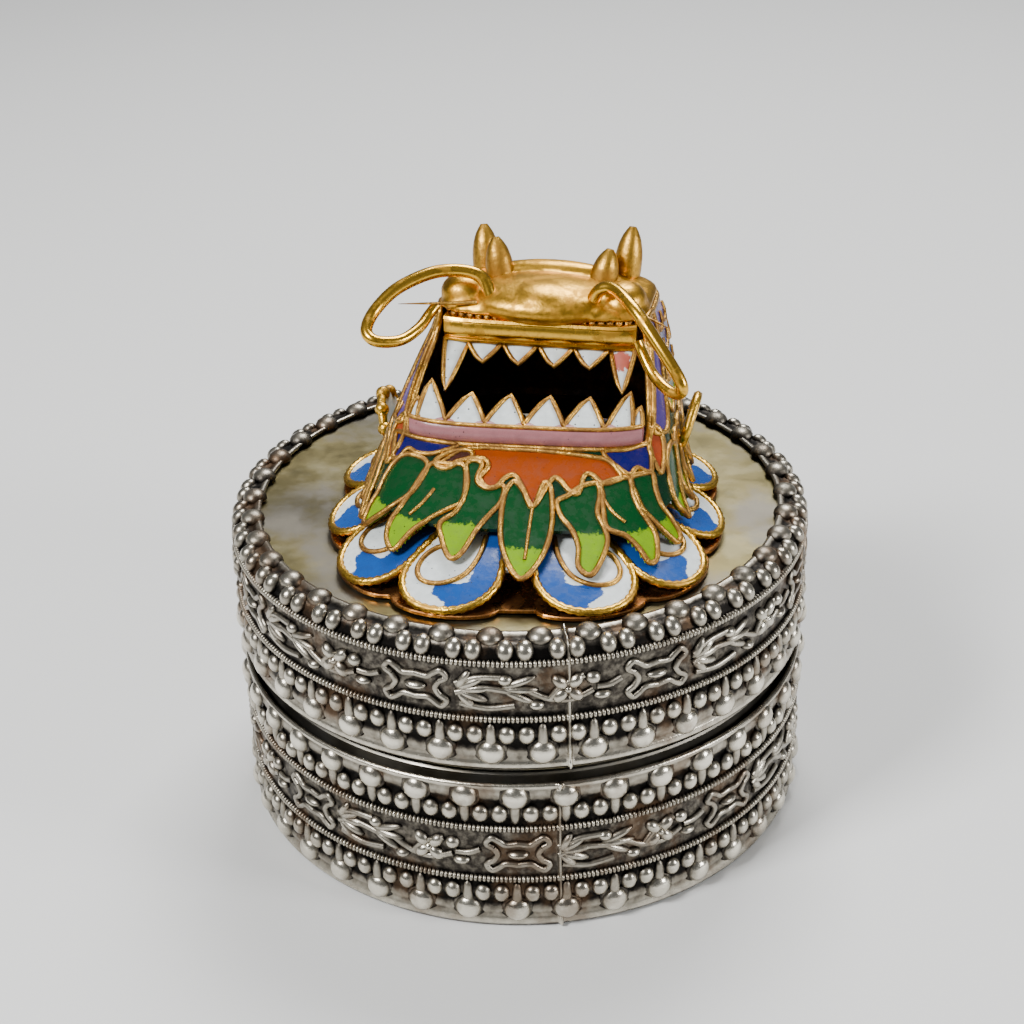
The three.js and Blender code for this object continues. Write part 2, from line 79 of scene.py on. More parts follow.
back = Vector((math.sin(view_turn) * math.cos(view_rise),
               -math.cos(view_turn) * math.cos(view_rise),
               math.sin(view_rise)))
right = Vector((math.cos(view_turn), math.sin(view_turn), 0))
up = back.cross(right)
aim = right * sideways + Vector((0, 0, aim_height))
rolled_right = right * math.cos(view_roll) - up * math.sin(view_roll)
rolled_up = up * math.cos(view_roll) + right * math.sin(view_roll)
turn = Matrix((rolled_right, rolled_up, back)).transposed().to_4x4()

lens = bpy.data.cameras.new("camera")
lens.lens = 68.64
lens.sensor_width = 36
lens.clip_start = 0.01
camera = bpy.data.objects.new("camera", lens)
camera.matrix_world = Matrix.Translation(aim + back * view_distance) @ turn
bpy.context.scene.collection.objects.link(camera)
bpy.context.scene.camera = camera

# %% [markdown]
# Small helpers come first. An operator acts on whatever is selected, so each helper starts by
# deselecting everything.

# %% Helpers for selecting and finishing


def only(*pieces):
    """Leaves edit mode and selects just these pieces."""
    if bpy.context.object and bpy.context.object.mode != "OBJECT":
        bpy.ops.object.mode_set(mode="OBJECT")
    for other in bpy.context.view_layer.objects:
        other.select_set(False)
    for piece in pieces:
        piece.select_set(True)
    if pieces:
        bpy.context.view_layer.objects.active = pieces[0]


def joined(pieces, name):
    only(*pieces)
    if len(pieces) > 1:
        bpy.ops.object.join()
    pieces[0].name = name
    pieces[0].data.name = name
    return pieces[0]


def settled(piece):
    """Puts the piece's place into its mesh."""
    only(piece)
    bpy.ops.object.transform_apply(location=True, rotation=True, scale=True)
    return piece


def modified(piece, kind, **values):
    modifier = piece.modifiers.new(kind.lower(), kind)
    for key, value in values.items():
        setattr(modifier, key, value)
    only(piece)
    bpy.ops.object.modifier_apply(modifier=modifier.name)
    return piece


def smoothed(piece, degrees=None):
    only(piece)
    if degrees is None:
        bpy.ops.object.shade_smooth()
    else:
        bpy.ops.object.shade_smooth_by_angle(angle=math.radians(degrees))
    return piece


def placed(name, data):
    """A new object in the scene, made of this mesh, curve or lamp."""
    piece = bpy.data.objects.new(name, data)
    bpy.context.scene.collection.objects.link(piece)
    return piece


def meshed(name, points, faces, edges=()):
    """A new piece from points in millimetres."""
    mesh = bpy.data.meshes.new(name)
    mesh.from_pydata([tuple(np.asarray(p) * MM) for p in points], edges, faces)
    mesh.update()
    return placed(name, mesh)


def grid_faces(rows, columns):
    """Quads between rows of points that each run round in a ring."""
    return [(row * columns + k, row * columns + (k + 1) % columns,
             (row + 1) * columns + (k + 1) % columns, (row + 1) * columns + k)
            for row in range(rows) for k in range(columns)]


def skinned(name, rings):
    """A closed skin over rings of equally many points, with flat ends."""
    n = len(rings[0])
    last = (len(rings) - 1) * n
    faces = grid_faces(len(rings) - 1, n) + [tuple(reversed(range(n))), tuple(range(last, last + n))]
    return meshed(name, [point for ring in rings for point in ring], faces)


def edited(piece, step, **values):
    """Runs one edit-mode operator on all of a piece."""
    only(piece)
    bpy.ops.object.mode_set(mode="EDIT")
    bpy.ops.mesh.select_all(action="SELECT")
    step(**values)
    bpy.ops.object.mode_set(mode="OBJECT")
    return piece


def outward(piece, merge=0.01):
    """Merges doubles and turns the faces of a closed piece outwards."""
    edited(piece, bpy.ops.mesh.remove_doubles, threshold=merge * MM)
    return edited(piece, bpy.ops.mesh.normals_make_consistent, inside=False)


def thickened(piece, thickness, offset=-1, **values):
    """Gives a sheet its thickness in millimetres, inwards unless the offset says otherwise."""
    return modified(piece, "SOLIDIFY", thickness=thickness * MM, offset=offset, **values)


def sphere(segments, rings):
    only()
    bpy.ops.mesh.primitive_uv_sphere_add(segments=segments, ring_count=rings, radius=1)
    return bpy.context.object


def put(piece, place, sizes):
    """Scales a piece and moves it to its place, both in millimetres."""
    piece.scale = tuple(size * MM for size in sizes)
    piece.location = tuple(at * MM for at in place)
    return settled(piece)


def points_of(piece):
    """The piece's points as an array in millimetres."""
    flat = np.empty(len(piece.data.vertices) * 3)
    piece.data.vertices.foreach_get("co", flat)
    return flat.reshape(-1, 3) / MM


def set_points(piece, points):
    piece.data.vertices.foreach_set("co", (np.asarray(points) * MM).ravel())
    piece.data.update()


def measure(piece, name, values):
    """Stores one number for each point of a piece, for its material to read."""
    layer = piece.data.attributes.new(name, "FLOAT", "POINT")
    layer.data.foreach_set("value", np.asarray(values, dtype=np.float32))


def finished(piece, material, slot, *nodes):
    """Gives a piece its finish and its place on the box."""
    if material:
        piece.data.materials.clear()
        piece.data.materials.append(material)
    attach(piece, "root")
    if nodes:
        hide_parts(*nodes)
    print(piece.name, len(piece.data.polygons), "faces")


# %% [markdown]
# A round wire is a curve with a round bevel, made a mesh when its route is right. Many routes can
# share one curve, so all the wires of an enamelled sheet are made in one go.

# %% Helper for wires


def wires(name, routes, width, closed=False, sides=2, ends=None):
    """Round wires along routes given in millimetres; ends gives the thickness share along each."""
    curve = bpy.data.curves.new(name, "CURVE")
    curve.dimensions = "3D"
    curve.bevel_depth = width / 2 * MM
    curve.bevel_resolution = sides
    curve.use_fill_caps = True
    for route in routes:
        spline = curve.splines.new("POLY")
        spline.points.add(len(route) - 1)
        spline.use_cyclic_u = closed
        for k, point in enumerate(route):
            spline.points[k].co = (*(np.asarray(point) * MM), 1)
            if ends:
                spline.points[k].radius = ends(k / (len(route) - 1))
    piece = placed(name, curve)
    only(piece)
    bpy.ops.object.convert(target="MESH")
    piece = bpy.context.object
    piece.name = name
    return smoothed(piece)


def flowing(points, steps, closed=False):
    """A smooth route through a few points."""
    points = [np.asarray(p, dtype=float) for p in points]
    count = len(points)
    spans = count if closed else count - 1
    route = []
    for span in range(spans):
        near = [k % count if closed else min(max(k, 0), count - 1) for k in range(span - 1, span + 3)]
        a, b, c, d = (points[k] for k in near)
        for step in range(steps):
            t = step / steps
            route.append(0.5 * (2 * b + (c - a) * t + (2 * a - 5 * b + 4 * c - d) * t * t
                                + (3 * b - a - 3 * c + d) * t ** 3))
    if not closed:
        route.append(points[-1])
    return route


# %% [markdown]
# Old silver is bright where hands have rubbed it and black in the hollows. Enamel is glass with
# specks and pits in it, and its colours run into each other where two meet with no wire between
# them. Each effect is a function that adds its nodes to a finish, with the finish's own values.

# %% Shared effects


def feed(tree, socket, value):
    """Gives a socket a number or a colour, or links another node's output to it."""
    if hasattr(value, "links"):
        tree.links.new(value, socket)
    elif socket.type == "RGBA":
        socket.default_value = (*value, 1)
    else:
        socket.default_value = value


def made(tree, kind, inputs=None, **settings):
    """A new node; its inputs are given by name or number, and its settings by name."""
    node = tree.nodes.new("ShaderNode" + kind)
    for key, value in settings.items():
        setattr(node, key, value)
    for key, value in (inputs or {}).items():
        feed(tree, node.inputs[key], value)
    return node


def noise(tree, scale, detail=4, rough=0.6):
    """Noise over the piece's own coordinates."""
    place = made(tree, "TexCoord").outputs["Object"]
    inputs = {"Vector": place, "Scale": scale, "Detail": detail, "Roughness": rough}
    return made(tree, "TexNoise", inputs).outputs["Fac"]


def maths(tree, operation, a, b):
    return made(tree, "Math", {0: a, 1: b}, operation=operation).outputs[0]


def times(tree, a, b):
    return maths(tree, "MULTIPLY", a, b)


def roughened(tree, value, unevenness, size):
    """A value with noise added to it, as much up as down."""
    return maths(tree, "ADD", value, times(tree, maths(tree, "SUBTRACT", unevenness, 0.5), size))


def stretched(tree, value, low, high, to_low=0.0, to_high=1.0):
    """Maps the stretch low to high of a value smoothly onto another."""
    inputs = {"Value": value, 1: low, 2: high, 3: to_low, 4: to_high}
    return made(tree, "MapRange", inputs, interpolation_type="SMOOTHSTEP").outputs["Result"]


def blended(tree, share, a, b):
    """A mix of two colours by a share."""
    return made(tree, "Mix", {"Factor": share, "A": a, "B": b}, data_type="RGBA").outputs["Result"]


def patches(tree, scale, share, strength=1.0):
    """Soft patches of tarnish: the larger the share, the more of them."""
    # Noise lies about its middle, so most of it is under this value and some of it over.
    low = 0.62 - 0.3 * share
    return times(tree, stretched(tree, noise(tree, scale, 6), low, low + 0.16), strength)


def specks(tree, size):
    """Small dark pits in the glass, gathered in some places."""
    place = made(tree, "TexCoord").outputs["Object"]
    pits = made(tree, "TexVoronoi", {"Vector": place, "Scale": 1500})
    near = maths(tree, "LESS_THAN", pits.outputs["Distance"], size)
    return times(tree, near, stretched(tree, noise(tree, 260, 3), 0.5, 0.56))


def grain(tree, scale, depth):
    """Fine unevenness of a surface, as a normal."""
    inputs = {"Strength": depth, "Distance": 0.1 * MM, "Height": noise(tree, scale, 3)}
    return made(tree, "Bump", inputs).outputs["Normal"]


def stored(tree, name, output="Fac"):
    """A number or colour stored on the piece."""
    return made(tree, "Attribute", attribute_name=name).outputs[output]


# %% [markdown]
# Each finish is a Principled shader fed by those effects. The strip also reads how far each point
# stands out, which tells the rubbed crests from the black hollows.

# %% Finishes


def started(name, metallic=0.0):
    """A new material, its node tree and the inputs of its shader."""
    material = bpy.data.materials.new(name)
    material.use_nodes = True
    shader = material.node_tree.nodes["Principled BSDF"].inputs
    shader["Metallic"].default_value = metallic
    return material, material.node_tree, shader


def dressed(tree, shader, colour, roughness, scale, depth):
    """Gives the shader its colour, its roughness and a grain of this scale and depth."""
    feed(tree, shader["Base Color"], colour)
    feed(tree, shader["Roughness"], roughness)
    feed(tree, shader["Normal"], grain(tree, scale, depth))


def old_silver():
    """Silver that goes from black in the hollows to bright where it stands out most."""
    material, tree, shader = started("old_silver", metallic=1.0)
    worn = roughened(tree, stored(tree, "standing"), noise(tree, 900), 0.75)
    ramp = made(tree, "ValToRGB", {"Fac": worn})
    stops = ((0.0, (0.010, 0.009, 0.008)), (0.14, (0.055, 0.048, 0.040)), (0.36, (0.26, 0.235, 0.19)),
             (0.75, (0.56, 0.52, 0.43)), (1.0, (0.82, 0.77, 0.65)))
    while len(ramp.color_ramp.elements) < len(stops):
        ramp.color_ramp.elements.new(0.5)
    for element, (position, colour) in zip(ramp.color_ramp.elements, stops):
        element.position = position
        element.color = (*colour, 1)
    base = blended(tree, patches(tree, 160, 0.45, 0.55), ramp.outputs["Color"], (0.15, 0.09, 0.05))
    dressed(tree, shader, base, stretched(tree, worn, 0.0, 0.8, 0.5, 0.24), 2600, 0.35)
    return material


def plain_silver(name, colour, dull, smoke):
    """Smooth silver sheet with a dull yellow skin and a share of smoky patches."""
    material, tree, shader = started(name, metallic=1.0)
    base = blended(tree, patches(tree, 190, 0.5, 0.5), colour, dull)
    base = blended(tree, patches(tree, 75, smoke, 0.75), base, (0.17, 0.16, 0.15))
    dressed(tree, shader, base, stretched(tree, noise(tree, 150, 5), 0.3, 0.7, 0.3, 0.48), 1200, 0.12)
    return material


def gilding(name, bright, dark, share, roughness, scale, depth):
    """Gilt copper: bright gold with a share of browner patches, and as rough as the piece is."""
    material, tree, shader = started(name, metallic=1.0)
    broad = patches(tree, 420, share)
    base = blended(tree, times(tree, broad, 0.8), bright, dark)
    base = blended(tree, patches(tree, 2400, share, 0.55), base, dark)
    dressed(tree, shader, base, stretched(tree, broad, 0.0, 1.0, roughness, roughness + 0.2), scale, depth)
    return material


def enamel(name, speck_size, roughness):
    """Glass in the colour stored on the piece, running into its second colour where they meet."""
    material, tree, shader = started(name)
    shader["Specular IOR Level"].default_value = 0.35
    share = roughened(tree, stored(tree, "second_share"), noise(tree, 1500, 6, 0.75), 1.1)
    first, second = (stored(tree, word, "Color") for word in ("colour", "second_colour"))
    base = blended(tree, stretched(tree, share, 0.44, 0.56), first, second)
    clouded = stretched(tree, noise(tree, 900, 6), 0.25, 0.8, 0.0, 0.5)
    base = blended(tree, clouded, base, blended(tree, 0.5, base, (0.0, 0.0, 0.0)))
    base = blended(tree, specks(tree, speck_size), base, (0.01, 0.012, 0.012))
    rough = stretched(tree, noise(tree, 900, 4), 0.35, 0.7, roughness, roughness + 0.14)
    dressed(tree, shader, base, rough, 700, 0.45)
    return material


strip_finish = old_silver()
cup_finish = plain_silver("cup_silver", (0.34, 0.32, 0.27), (0.24, 0.21, 0.15), 0.4)
lid_finish = plain_silver("lid_silver", (0.215, 0.18, 0.082), (0.32, 0.285, 0.165), 0.5)
# A gilding has a bright and a brown colour, its share of brown, its roughness, and its grain.
gilt_sheet = gilding("gilt_sheet", (0.62, 0.335, 0.035), (0.36, 0.18, 0.02), 0.5, 0.34, 1800, 0.35)
gilt_wire = gilding("gilt_wire", (0.68, 0.38, 0.07), (0.20, 0.095, 0.03), 0.65, 0.32, 3600, 1.0)
gilt_smooth = gilding("gilt_smooth", (0.74, 0.42, 0.045), (0.42, 0.21, 0.025), 0.35, 0.24, 1800, 0.18)
rim_gilt = gilding("rim_gilt", (0.82, 0.49, 0.06), (0.32, 0.16, 0.03), 0.5, 0.28, 2600, 0.8)
dull_gilt = gilding("dull_gilt", (0.52, 0.285, 0.04), (0.25, 0.125, 0.02), 0.55, 0.4, 1500, 0.6)
copper_gilt = gilding("copper_gilt", (0.66, 0.30, 0.09), (0.16, 0.06, 0.02), 0.6, 0.25, 1500, 0.2)
# Copper for the insides of the head, darkened far below real copper: painted shade of the head's interior.
copper_in_painted_shade = gilding("copper_in_painted_shade", (0.09, 0.045, 0.025), (0.02, 0.014, 0.012), 0.7, 0.5, 1200, 0.3)
glass = enamel("enamel", 0.12, 0.22)
white_glass = enamel("tooth_enamel", 0.16, 0.28)

# %% [markdown]
# A cup is a profile turned about the box's axis. The foot ring, the recess under the floor and
# the inner collar that the lid slides over are all in the profile.

# %% The two cups


def spun(name, profile):
    """A profile of radius and height that starts and ends on the axis, turned into a cup."""
    edges = [(k, k + 1) for k in range(len(profile) - 1)]
    piece = meshed(name, [(radius, 0, height) for radius, height in profile], [], edges)
    edited(piece, bpy.ops.mesh.spin, steps=144, angle=TURN, center=(0, 0, 0), axis=(0, 0, 1))
    return smoothed(outward(piece), 35)


outside = 33.4
inside = 32.6
foot_inside = 31.6
neck_outside = 32.35
neck_inside = 31.65
neck_foot = 14.0
neck_top = 25.0
base_top = 21.0
lid_foot = 21.3
lid_top = 37.8
sheet = 0.8
bevel = 0.2

base_profile = [
    (0, sheet), (foot_inside - 2 * bevel, sheet), (foot_inside - bevel, sheet - bevel),
    (foot_inside - bevel, bevel), (foot_inside, 0), (outside - bevel, 0), (outside, bevel),
    (outside, base_top - bevel), (outside - bevel, base_top), (neck_outside, base_top),
    (neck_outside, neck_top - bevel), (neck_outside - bevel, neck_top), (neck_inside + bevel, neck_top),
    (neck_inside, neck_top - bevel), (neck_inside, neck_foot), (inside, neck_foot),
    (inside, 2 * (sheet + bevel)), (inside - 2 * bevel, 2 * sheet), (0, 2 * sheet),
]
finished(spun("cup_of_base", base_profile), cup_finish, "cup_silver", "base_cup")

lid_profile = [
    (0, lid_top - sheet), (inside - 2 * bevel, lid_top - sheet), (inside, lid_top - sheet - 2 * bevel),
    (inside, lid_foot + bevel), (inside + bevel, lid_foot), (outside - bevel, lid_foot),
    (outside, lid_foot + bevel), (outside, lid_top - 0.3), (outside - 0.3, lid_top), (0, lid_top),
]
finished(spun("cup_of_lid", lid_profile), lid_finish, "lid_silver", "lid_cup")

# %% [markdown]
# The strip is made flat, as it was stamped: beads, milled wire and leaves on a thin sheet. One
# repeat of each is modelled and copied along, and the finished strip is then bent round the box.

# %% Bending a flat strip round the box
strip_radius = 34.5
strip_length = TURN * strip_radius
periods = 38
period = strip_length / periods
motifs = 8
motif_length = strip_length / motifs
base_middle = 10.6
lid_middle = 32.8
sheet_foot = -10.3
wire_row = 3.6
small_row = 5.7
large_row = 8.0
fold_radius = 1.7
fold_start = lid_top + 0.5 - fold_radius - lid_middle


def straight(along, relief):
    return strip_radius + relief, base_middle + along


def folded(along, relief):
    """The lid's strip turns in over the top edge."""
    quarter = fold_radius * math.pi / 2
    over = np.clip(along - fold_start, 0, quarter)
    bend = over / fold_radius
    flat = np.maximum(0, along - fold_start - quarter)
    reach = fold_radius + relief
    radius = strip_radius - fold_radius + reach * np.cos(bend) - flat
    return radius, lid_middle + np.minimum(along, fold_start) + reach * np.sin(bend)


def bent(piece, path, start_degrees):
    """Bends a flat piece round the box, after storing how far each of its points stands out."""
    flat = points_of(piece)
    standing = flat[:, 2]
    if piece.name.startswith("ground"):
        away = np.abs(flat[:, 1])
        leaves = 0.17 * (away < 2.9)
        bare = 0.36 * np.clip((away - 7.2) / 1.2, 0, 1)
        standing = leaves + bare + standing
    if piece.name.startswith("hump"):
        standing = np.where(flat[:, 1] > 6.0, 0.32 * standing, 0.8 * standing)
    measure(piece, "standing", standing)
    angle = flat[:, 0] / strip_radius + math.radians(start_degrees)
    radius, height = path(flat[:, 1], flat[:, 2])
    set_points(piece, np.column_stack([radius * np.sin(angle), -radius * np.cos(angle), height]))
    return piece


def dome(x, y, wide, tall, relief, segments=14, rings=8):
    """A raised bead: a ball cut in half and flattened."""
    cut = {"plane_co": (0, 0, -0.12), "plane_no": (0, 0, 1), "clear_inner": True}
    piece = edited(sphere(segments, rings), bpy.ops.mesh.bisect, **cut)
    return smoothed(put(piece, (x, y, 0), (wide / 2, tall / 2, relief)))


def along_strip(piece, count, pitch):
    """Copies a piece along the strip at an even pitch."""
    return modified(piece, "ARRAY", count=count, use_relative_offset=False,
                    use_constant_offset=True, constant_offset_displace=(pitch * MM, 0, 0))


# %% [markdown]
# A row of beads repeats two small beads and one large bead on a short stem. The large one sits
# on a low round flange, as the stamping die left it.

# %% Beads, milled wire and leaves


def bead_repeat(small_at, large_at, wire_at, hump=False):
    """Two small beads at half a period, and a large one on its stem, or a worn hump on the fold."""
    stem_from = wire_at + (0.6 if large_at > wire_at else -0.6)
    pieces = [dome(period / 2 + away, small_at, 2.05, 2.35, 0.9) for away in (-1.08, 1.08)]
    if hump:
        return joined(pieces + [dome(0, large_at, 3.3, 2.9, 1.1, 16, 8)], "hump_repeat")
    pieces += [
        dome(0, large_at, 3.2, 3.2, 1.1, 18, 10),
        dome(0, large_at, 4.0, 3.8, 0.3, 16, 6),
        dome(0, (stem_from + large_at) / 2, 1.35, abs(large_at - stem_from) + 0.2, 0.6, 10, 8),
    ]
    return joined(pieces, "bead_repeat")


def milled(at):
    """Ribs side by side, which look like a twisted or milled wire."""
    ribs = round(strip_length / 0.5)
    return along_strip(dome(0, at, 0.58, 1.0, 0.62, 8, 6), ribs, strip_length / ribs)


def leaf_repeat():
    """A frame with curled corners, spear leaves, a bud, a round bud on a stem and a flower."""
    curl = [(-2.8, -0.9), (-3.6, -1.5), (-3.0, -2.3), (-2.2, -1.9), (-1.4, -1.35), (0, -1.5)]
    halves = [[(sx * x, sy * y) for x, y in curl] for sx in (-1, 1) for sy in (-1, 1)]
    ends = [[(sx * 2.8, -0.9), (sx * 2.3, 0), (sx * 2.8, 0.9)] for sx in (-1, 1)]
    stems = [
        [(4.6, -0.3), (7.5, 0.5), (10.6, 0.1)],
        [(4.6, 0.9), (7.0, 1.8), (9.6, 1.9)],
        [(12.4, 0.3), (14.6, -0.9), (17.2, -1.2), (19.6, -0.3)],
        [(14.8, -1.0), (16.2, 0.6), (18.6, 1.7)],
        [(22.8, 0.6), (21.4, 0.0), (20.0, 0.0)],
        [(5.0, -1.6), (8.0, -2.1), (11.0, -1.7)],
    ]
    routes = [flowing([(x + 4, y, 0.15) for x, y in line], 6) for line in halves + ends + stems]
    pieces = [wires("tendrils", routes, 0.8, sides=1)]

    def turned_leaf(x, y, long, wide, relief, degrees, root=True):
        leaf = dome(long / 2 if root else 0, 0, long, wide, relief, 10, 6)
        leaf.rotation_euler = (0, 0, math.radians(degrees))
        leaf.location = (x * MM, y * MM, 0)
        pieces.append(settled(leaf))

    for degrees, long in ((58, 3.0), (30, 3.8), (6, 4.2), (-20, 3.9), (-48, 3.2)):
        turned_leaf(8.6, 0.1, long, 1.15, 0.7, degrees)
    for degrees in (20, -4, -28):
        turned_leaf(13.4, 0.5, 4.4, 1.0, 0.65, degrees)
    for degrees in (45, 135, 225, 315):
        turned_leaf(20.8, 0.2, 2.4, 1.6, 0.85, degrees)
    for x, y, wide, tall in ((20.8, 0.2, 1.1, 1.1), (23.6, 1.2, 1.9, 1.7), (14.0, 1.6, 1.8, 1.4),
                             (17.4, -1.7, 1.9, 1.2), (24.6, -1.1, 2.2, 1.1), (4.0, 0.0, 2.8, 1.0)):
        turned_leaf(x, y, wide, tall, 0.85 if wide < 3 else 0.45, 0, root=False)
    return along_strip(joined(pieces, "leaf_repeat"), motifs, motif_length)


def ground(top, seam_at):
    """The sheet itself, with its rounded lips, its channels and the step where its ends meet."""
    even = np.arange(340) / 340 * strip_length
    along = np.sort(np.concatenate([even, seam_at + np.linspace(-0.6, 0.6, 13)]))
    rows = 40
    points = []
    for row in range(rows + 1):
        y = sheet_foot + (top - sheet_foot) * row / rows
        edge = min(y - sheet_foot, top - y)
        lip = 0.42 * math.exp(-((edge - 0.5) / 0.5) ** 2)
        channel = 0.16 * math.cos(TURN * (abs(y) - 5.7) / 2.4) if 4.2 < abs(y) < 9.2 else 0.0
        for x in along:
            seam = 0.5 * math.exp(-((x - seam_at) / 0.25) ** 2)
            points.append((x, y, lip + channel + seam))
    return meshed("ground", points, grid_faces(rows, len(along)))


def strip(name, path, start, leaf_start, seam, top, small_at=small_row, large_at=large_row, hump=False):
    """A whole strip. Start, leaf_start and seam are in degrees, the rest in millimetres up it."""
    sheet = ground(top, math.radians(seam - start) * strip_radius)
    beads = [bead_repeat(-small_row, -large_row, -wire_row), bead_repeat(small_at, large_at, wire_row, hump)]
    parts = [sheet] + [along_strip(row, periods, period) for row in beads]
    parts += [milled(-wire_row), milled(wire_row)]
    for part in parts:
        bent(part, path, start)
    parts.append(bent(leaf_repeat(), path, leaf_start))
    thickened(sheet, 0.35)
    return smoothed(joined(parts, name))


base_strip = strip("strip_of_base", straight, start=0.2, leaf_start=3.4, seam=18, top=9.9)
finished(base_strip, strip_finish, "strip_silver", "base_band")
lid_strip = strip("strip_of_lid", folded, start=5.6, leaf_start=-14.8, seam=20, top=7.9,
                  small_at=5.1, large_at=6.9, hump=True)
finished(lid_strip, strip_finish, "strip_silver", "lid_band")

# %% [markdown]
# The head is sheet metal on a smooth form. Its outlines are named from the ground up, and any
# point of its skin is found from a direction round it and a height, so that sheet, enamel and
# wires all lie on one surface.

# %% The head's form
Line = namedtuple("Line", "height half front back square turn")
head_shift = 2.5
head_floor = 38.1
rim_line = Line(0.8, 23.1, 28.6, 20.4, 2.65, 8)
leaf_line = Line(3.7, 19, 24.2, 19, 2.8, 6)
lip_line = Line(11.9, 16.4, 8.9, 17.4, 4.2, 3)
jaw_line = Line(19.5, 13.6, -1.2, 16.2, 6, 0)
crown_line = Line(22.4, 12.8, -1.6, 15.6, 5, 0)
mane_foot = 3.3
mouth_edge = 11.6
mouth_corner = 53


def line_at(height):
    """The outline at a height, between the two named lines on either side of it."""
    lines = [leaf_line, lip_line, jaw_line, crown_line]
    above = next((k for k in (1, 2, 3) if lines[k].height >= height), 3)
    low, high = lines[above - 1], lines[above]
    share = (height - low.height) / (high.height - low.height)
    return Line(*(a + (b - a) * share for a, b in zip(low, high)))


def turned_askew(side, front, height, degrees):
    """Turns a place about the upright axis through the middle of the lip."""
    a = math.radians(degrees)
    y = lip_line.front - front
    turned_y = side * math.sin(a) + y * math.cos(a) - lip_line.front
    return np.array([head_shift + side * math.cos(a) - y * math.sin(a), turned_y, head_floor + height])


def on_line(line, direction, height, inset=0.0):
    """A point of an outline, in the box's millimetres. Direction 0 is the dragon's front."""
    middle = (line.front - line.back) / 2
    long = (line.front + line.back) / 2 - inset
    wide = line.half - inset
    s, c = math.sin(direction), math.cos(direction)
    reach = (abs(s / wide) ** line.square + abs(c / long) ** line.square) ** (-1 / line.square)
    return turned_askew(reach * s, middle + reach * c, height, line.turn)


def on_mane(degrees, height, lift=0.0):
    """A point of the mane, whose leaf points stand a little off the form."""
    proud = 0.5 * max(0.0, (6.5 - height) / 3)
    return on_line(line_at(height), math.radians(degrees), height, -(lift + proud))


def on_front(side, height):
    """The head's front surface at a distance to one side of the middle plane."""
    line = line_at(height)
    share = min(1.0, abs(side) / line.half)
    reach = (line.front - line.back) / 2
    reach += (line.front + line.back) / 2 * (1 - share ** line.square) ** (1 / line.square)
    return turned_askew(side, reach, height, line.turn)


def mane_top(degrees):
    """The mane's upper edge: the lip in front, climbing at the mouth's corners to the crown."""
    away = abs((degrees + 180) % 360 - 180)
    climb = min(1.0, max(0.0, (away - mouth_corner) / 16))
    return mouth_edge + (crown_line.height - mouth_edge) * climb


# %% [markdown]
# The mane's enamel is painted by cells. Each cell is an outline in degrees round the head and
# millimetres up it. A face of the sheet takes the colour of the last cell that it lies in, and a
# gilt wire runs along every outline, which also hides the steps between faces.

# %% Enamel colours and the cells in front
COBALT = (0.005, 0.004, 0.10)
BLUE = (0.006, 0.060, 0.27)
WHITE = (0.64, 0.69, 0.68)
GREEN = (0.0, 0.043, 0.008)
DARK_GREEN = (0.0, 0.022, 0.007)
LIME = (0.16, 0.31, 0.0)
ORANGE = (0.27, 0.040, 0.0)
BROWN = (0.05, 0.015, 0.010)
PINK = (0.33, 0.135, 0.145)
CORAL = (0.30, 0.045, 0.01)
ROSE = (0.42, 0.10, 0.07)
# Painted shade for the collar where it lies inside the head.
INNER_SHADE = (0.03, 0.018, 0.012)
LAVENDER = (0.07, 0.042, 0.19)

front_cells = [
    (COBALT, COBALT, 0, [
        (-56, 11.5), (-42, 11.7), (-30, 11.6), (-34, 11.1), (-38, 10.8), (-43, 10.7), (-47, 10.8),
        (-49, 10.0), (-52, 9.7), (-55, 10.6)]),
    (COBALT, COBALT, 0, [(35, 11.5), (43, 11.6), (52, 11.6), (50, 9.6), (45, 10.2), (42, 9.8), (39, 10.3)]),
    (ORANGE, BROWN, 8.3, [
        (-35, 10.3), (-31, 11.1), (-20, 11.5), (-6, 11.5), (6, 11.5), (20, 11.4), (30, 11.2), (36, 10.9),
        (39, 9.8), (36, 9.5), (32, 9.4), (29, 10.0), (26, 9.9), (23, 8.8), (20, 8.9), (17, 9.6), (14, 9.7),
        (10, 8.8), (6, 7.9), (2, 9.0), (-2, 9.8), (-6, 9.6), (-9, 9.0), (-13, 9.0), (-16, 9.6),
        (-14, 10.3), (-17, 10.8), (-24, 10.7), (-30, 10.0)]),
    (BROWN, ORANGE, 10.2, [(-35, 10.3), (-31, 11.1), (-24, 11.3), (-22, 10.8), (-27, 10.5), (-30, 10.0)]),
]
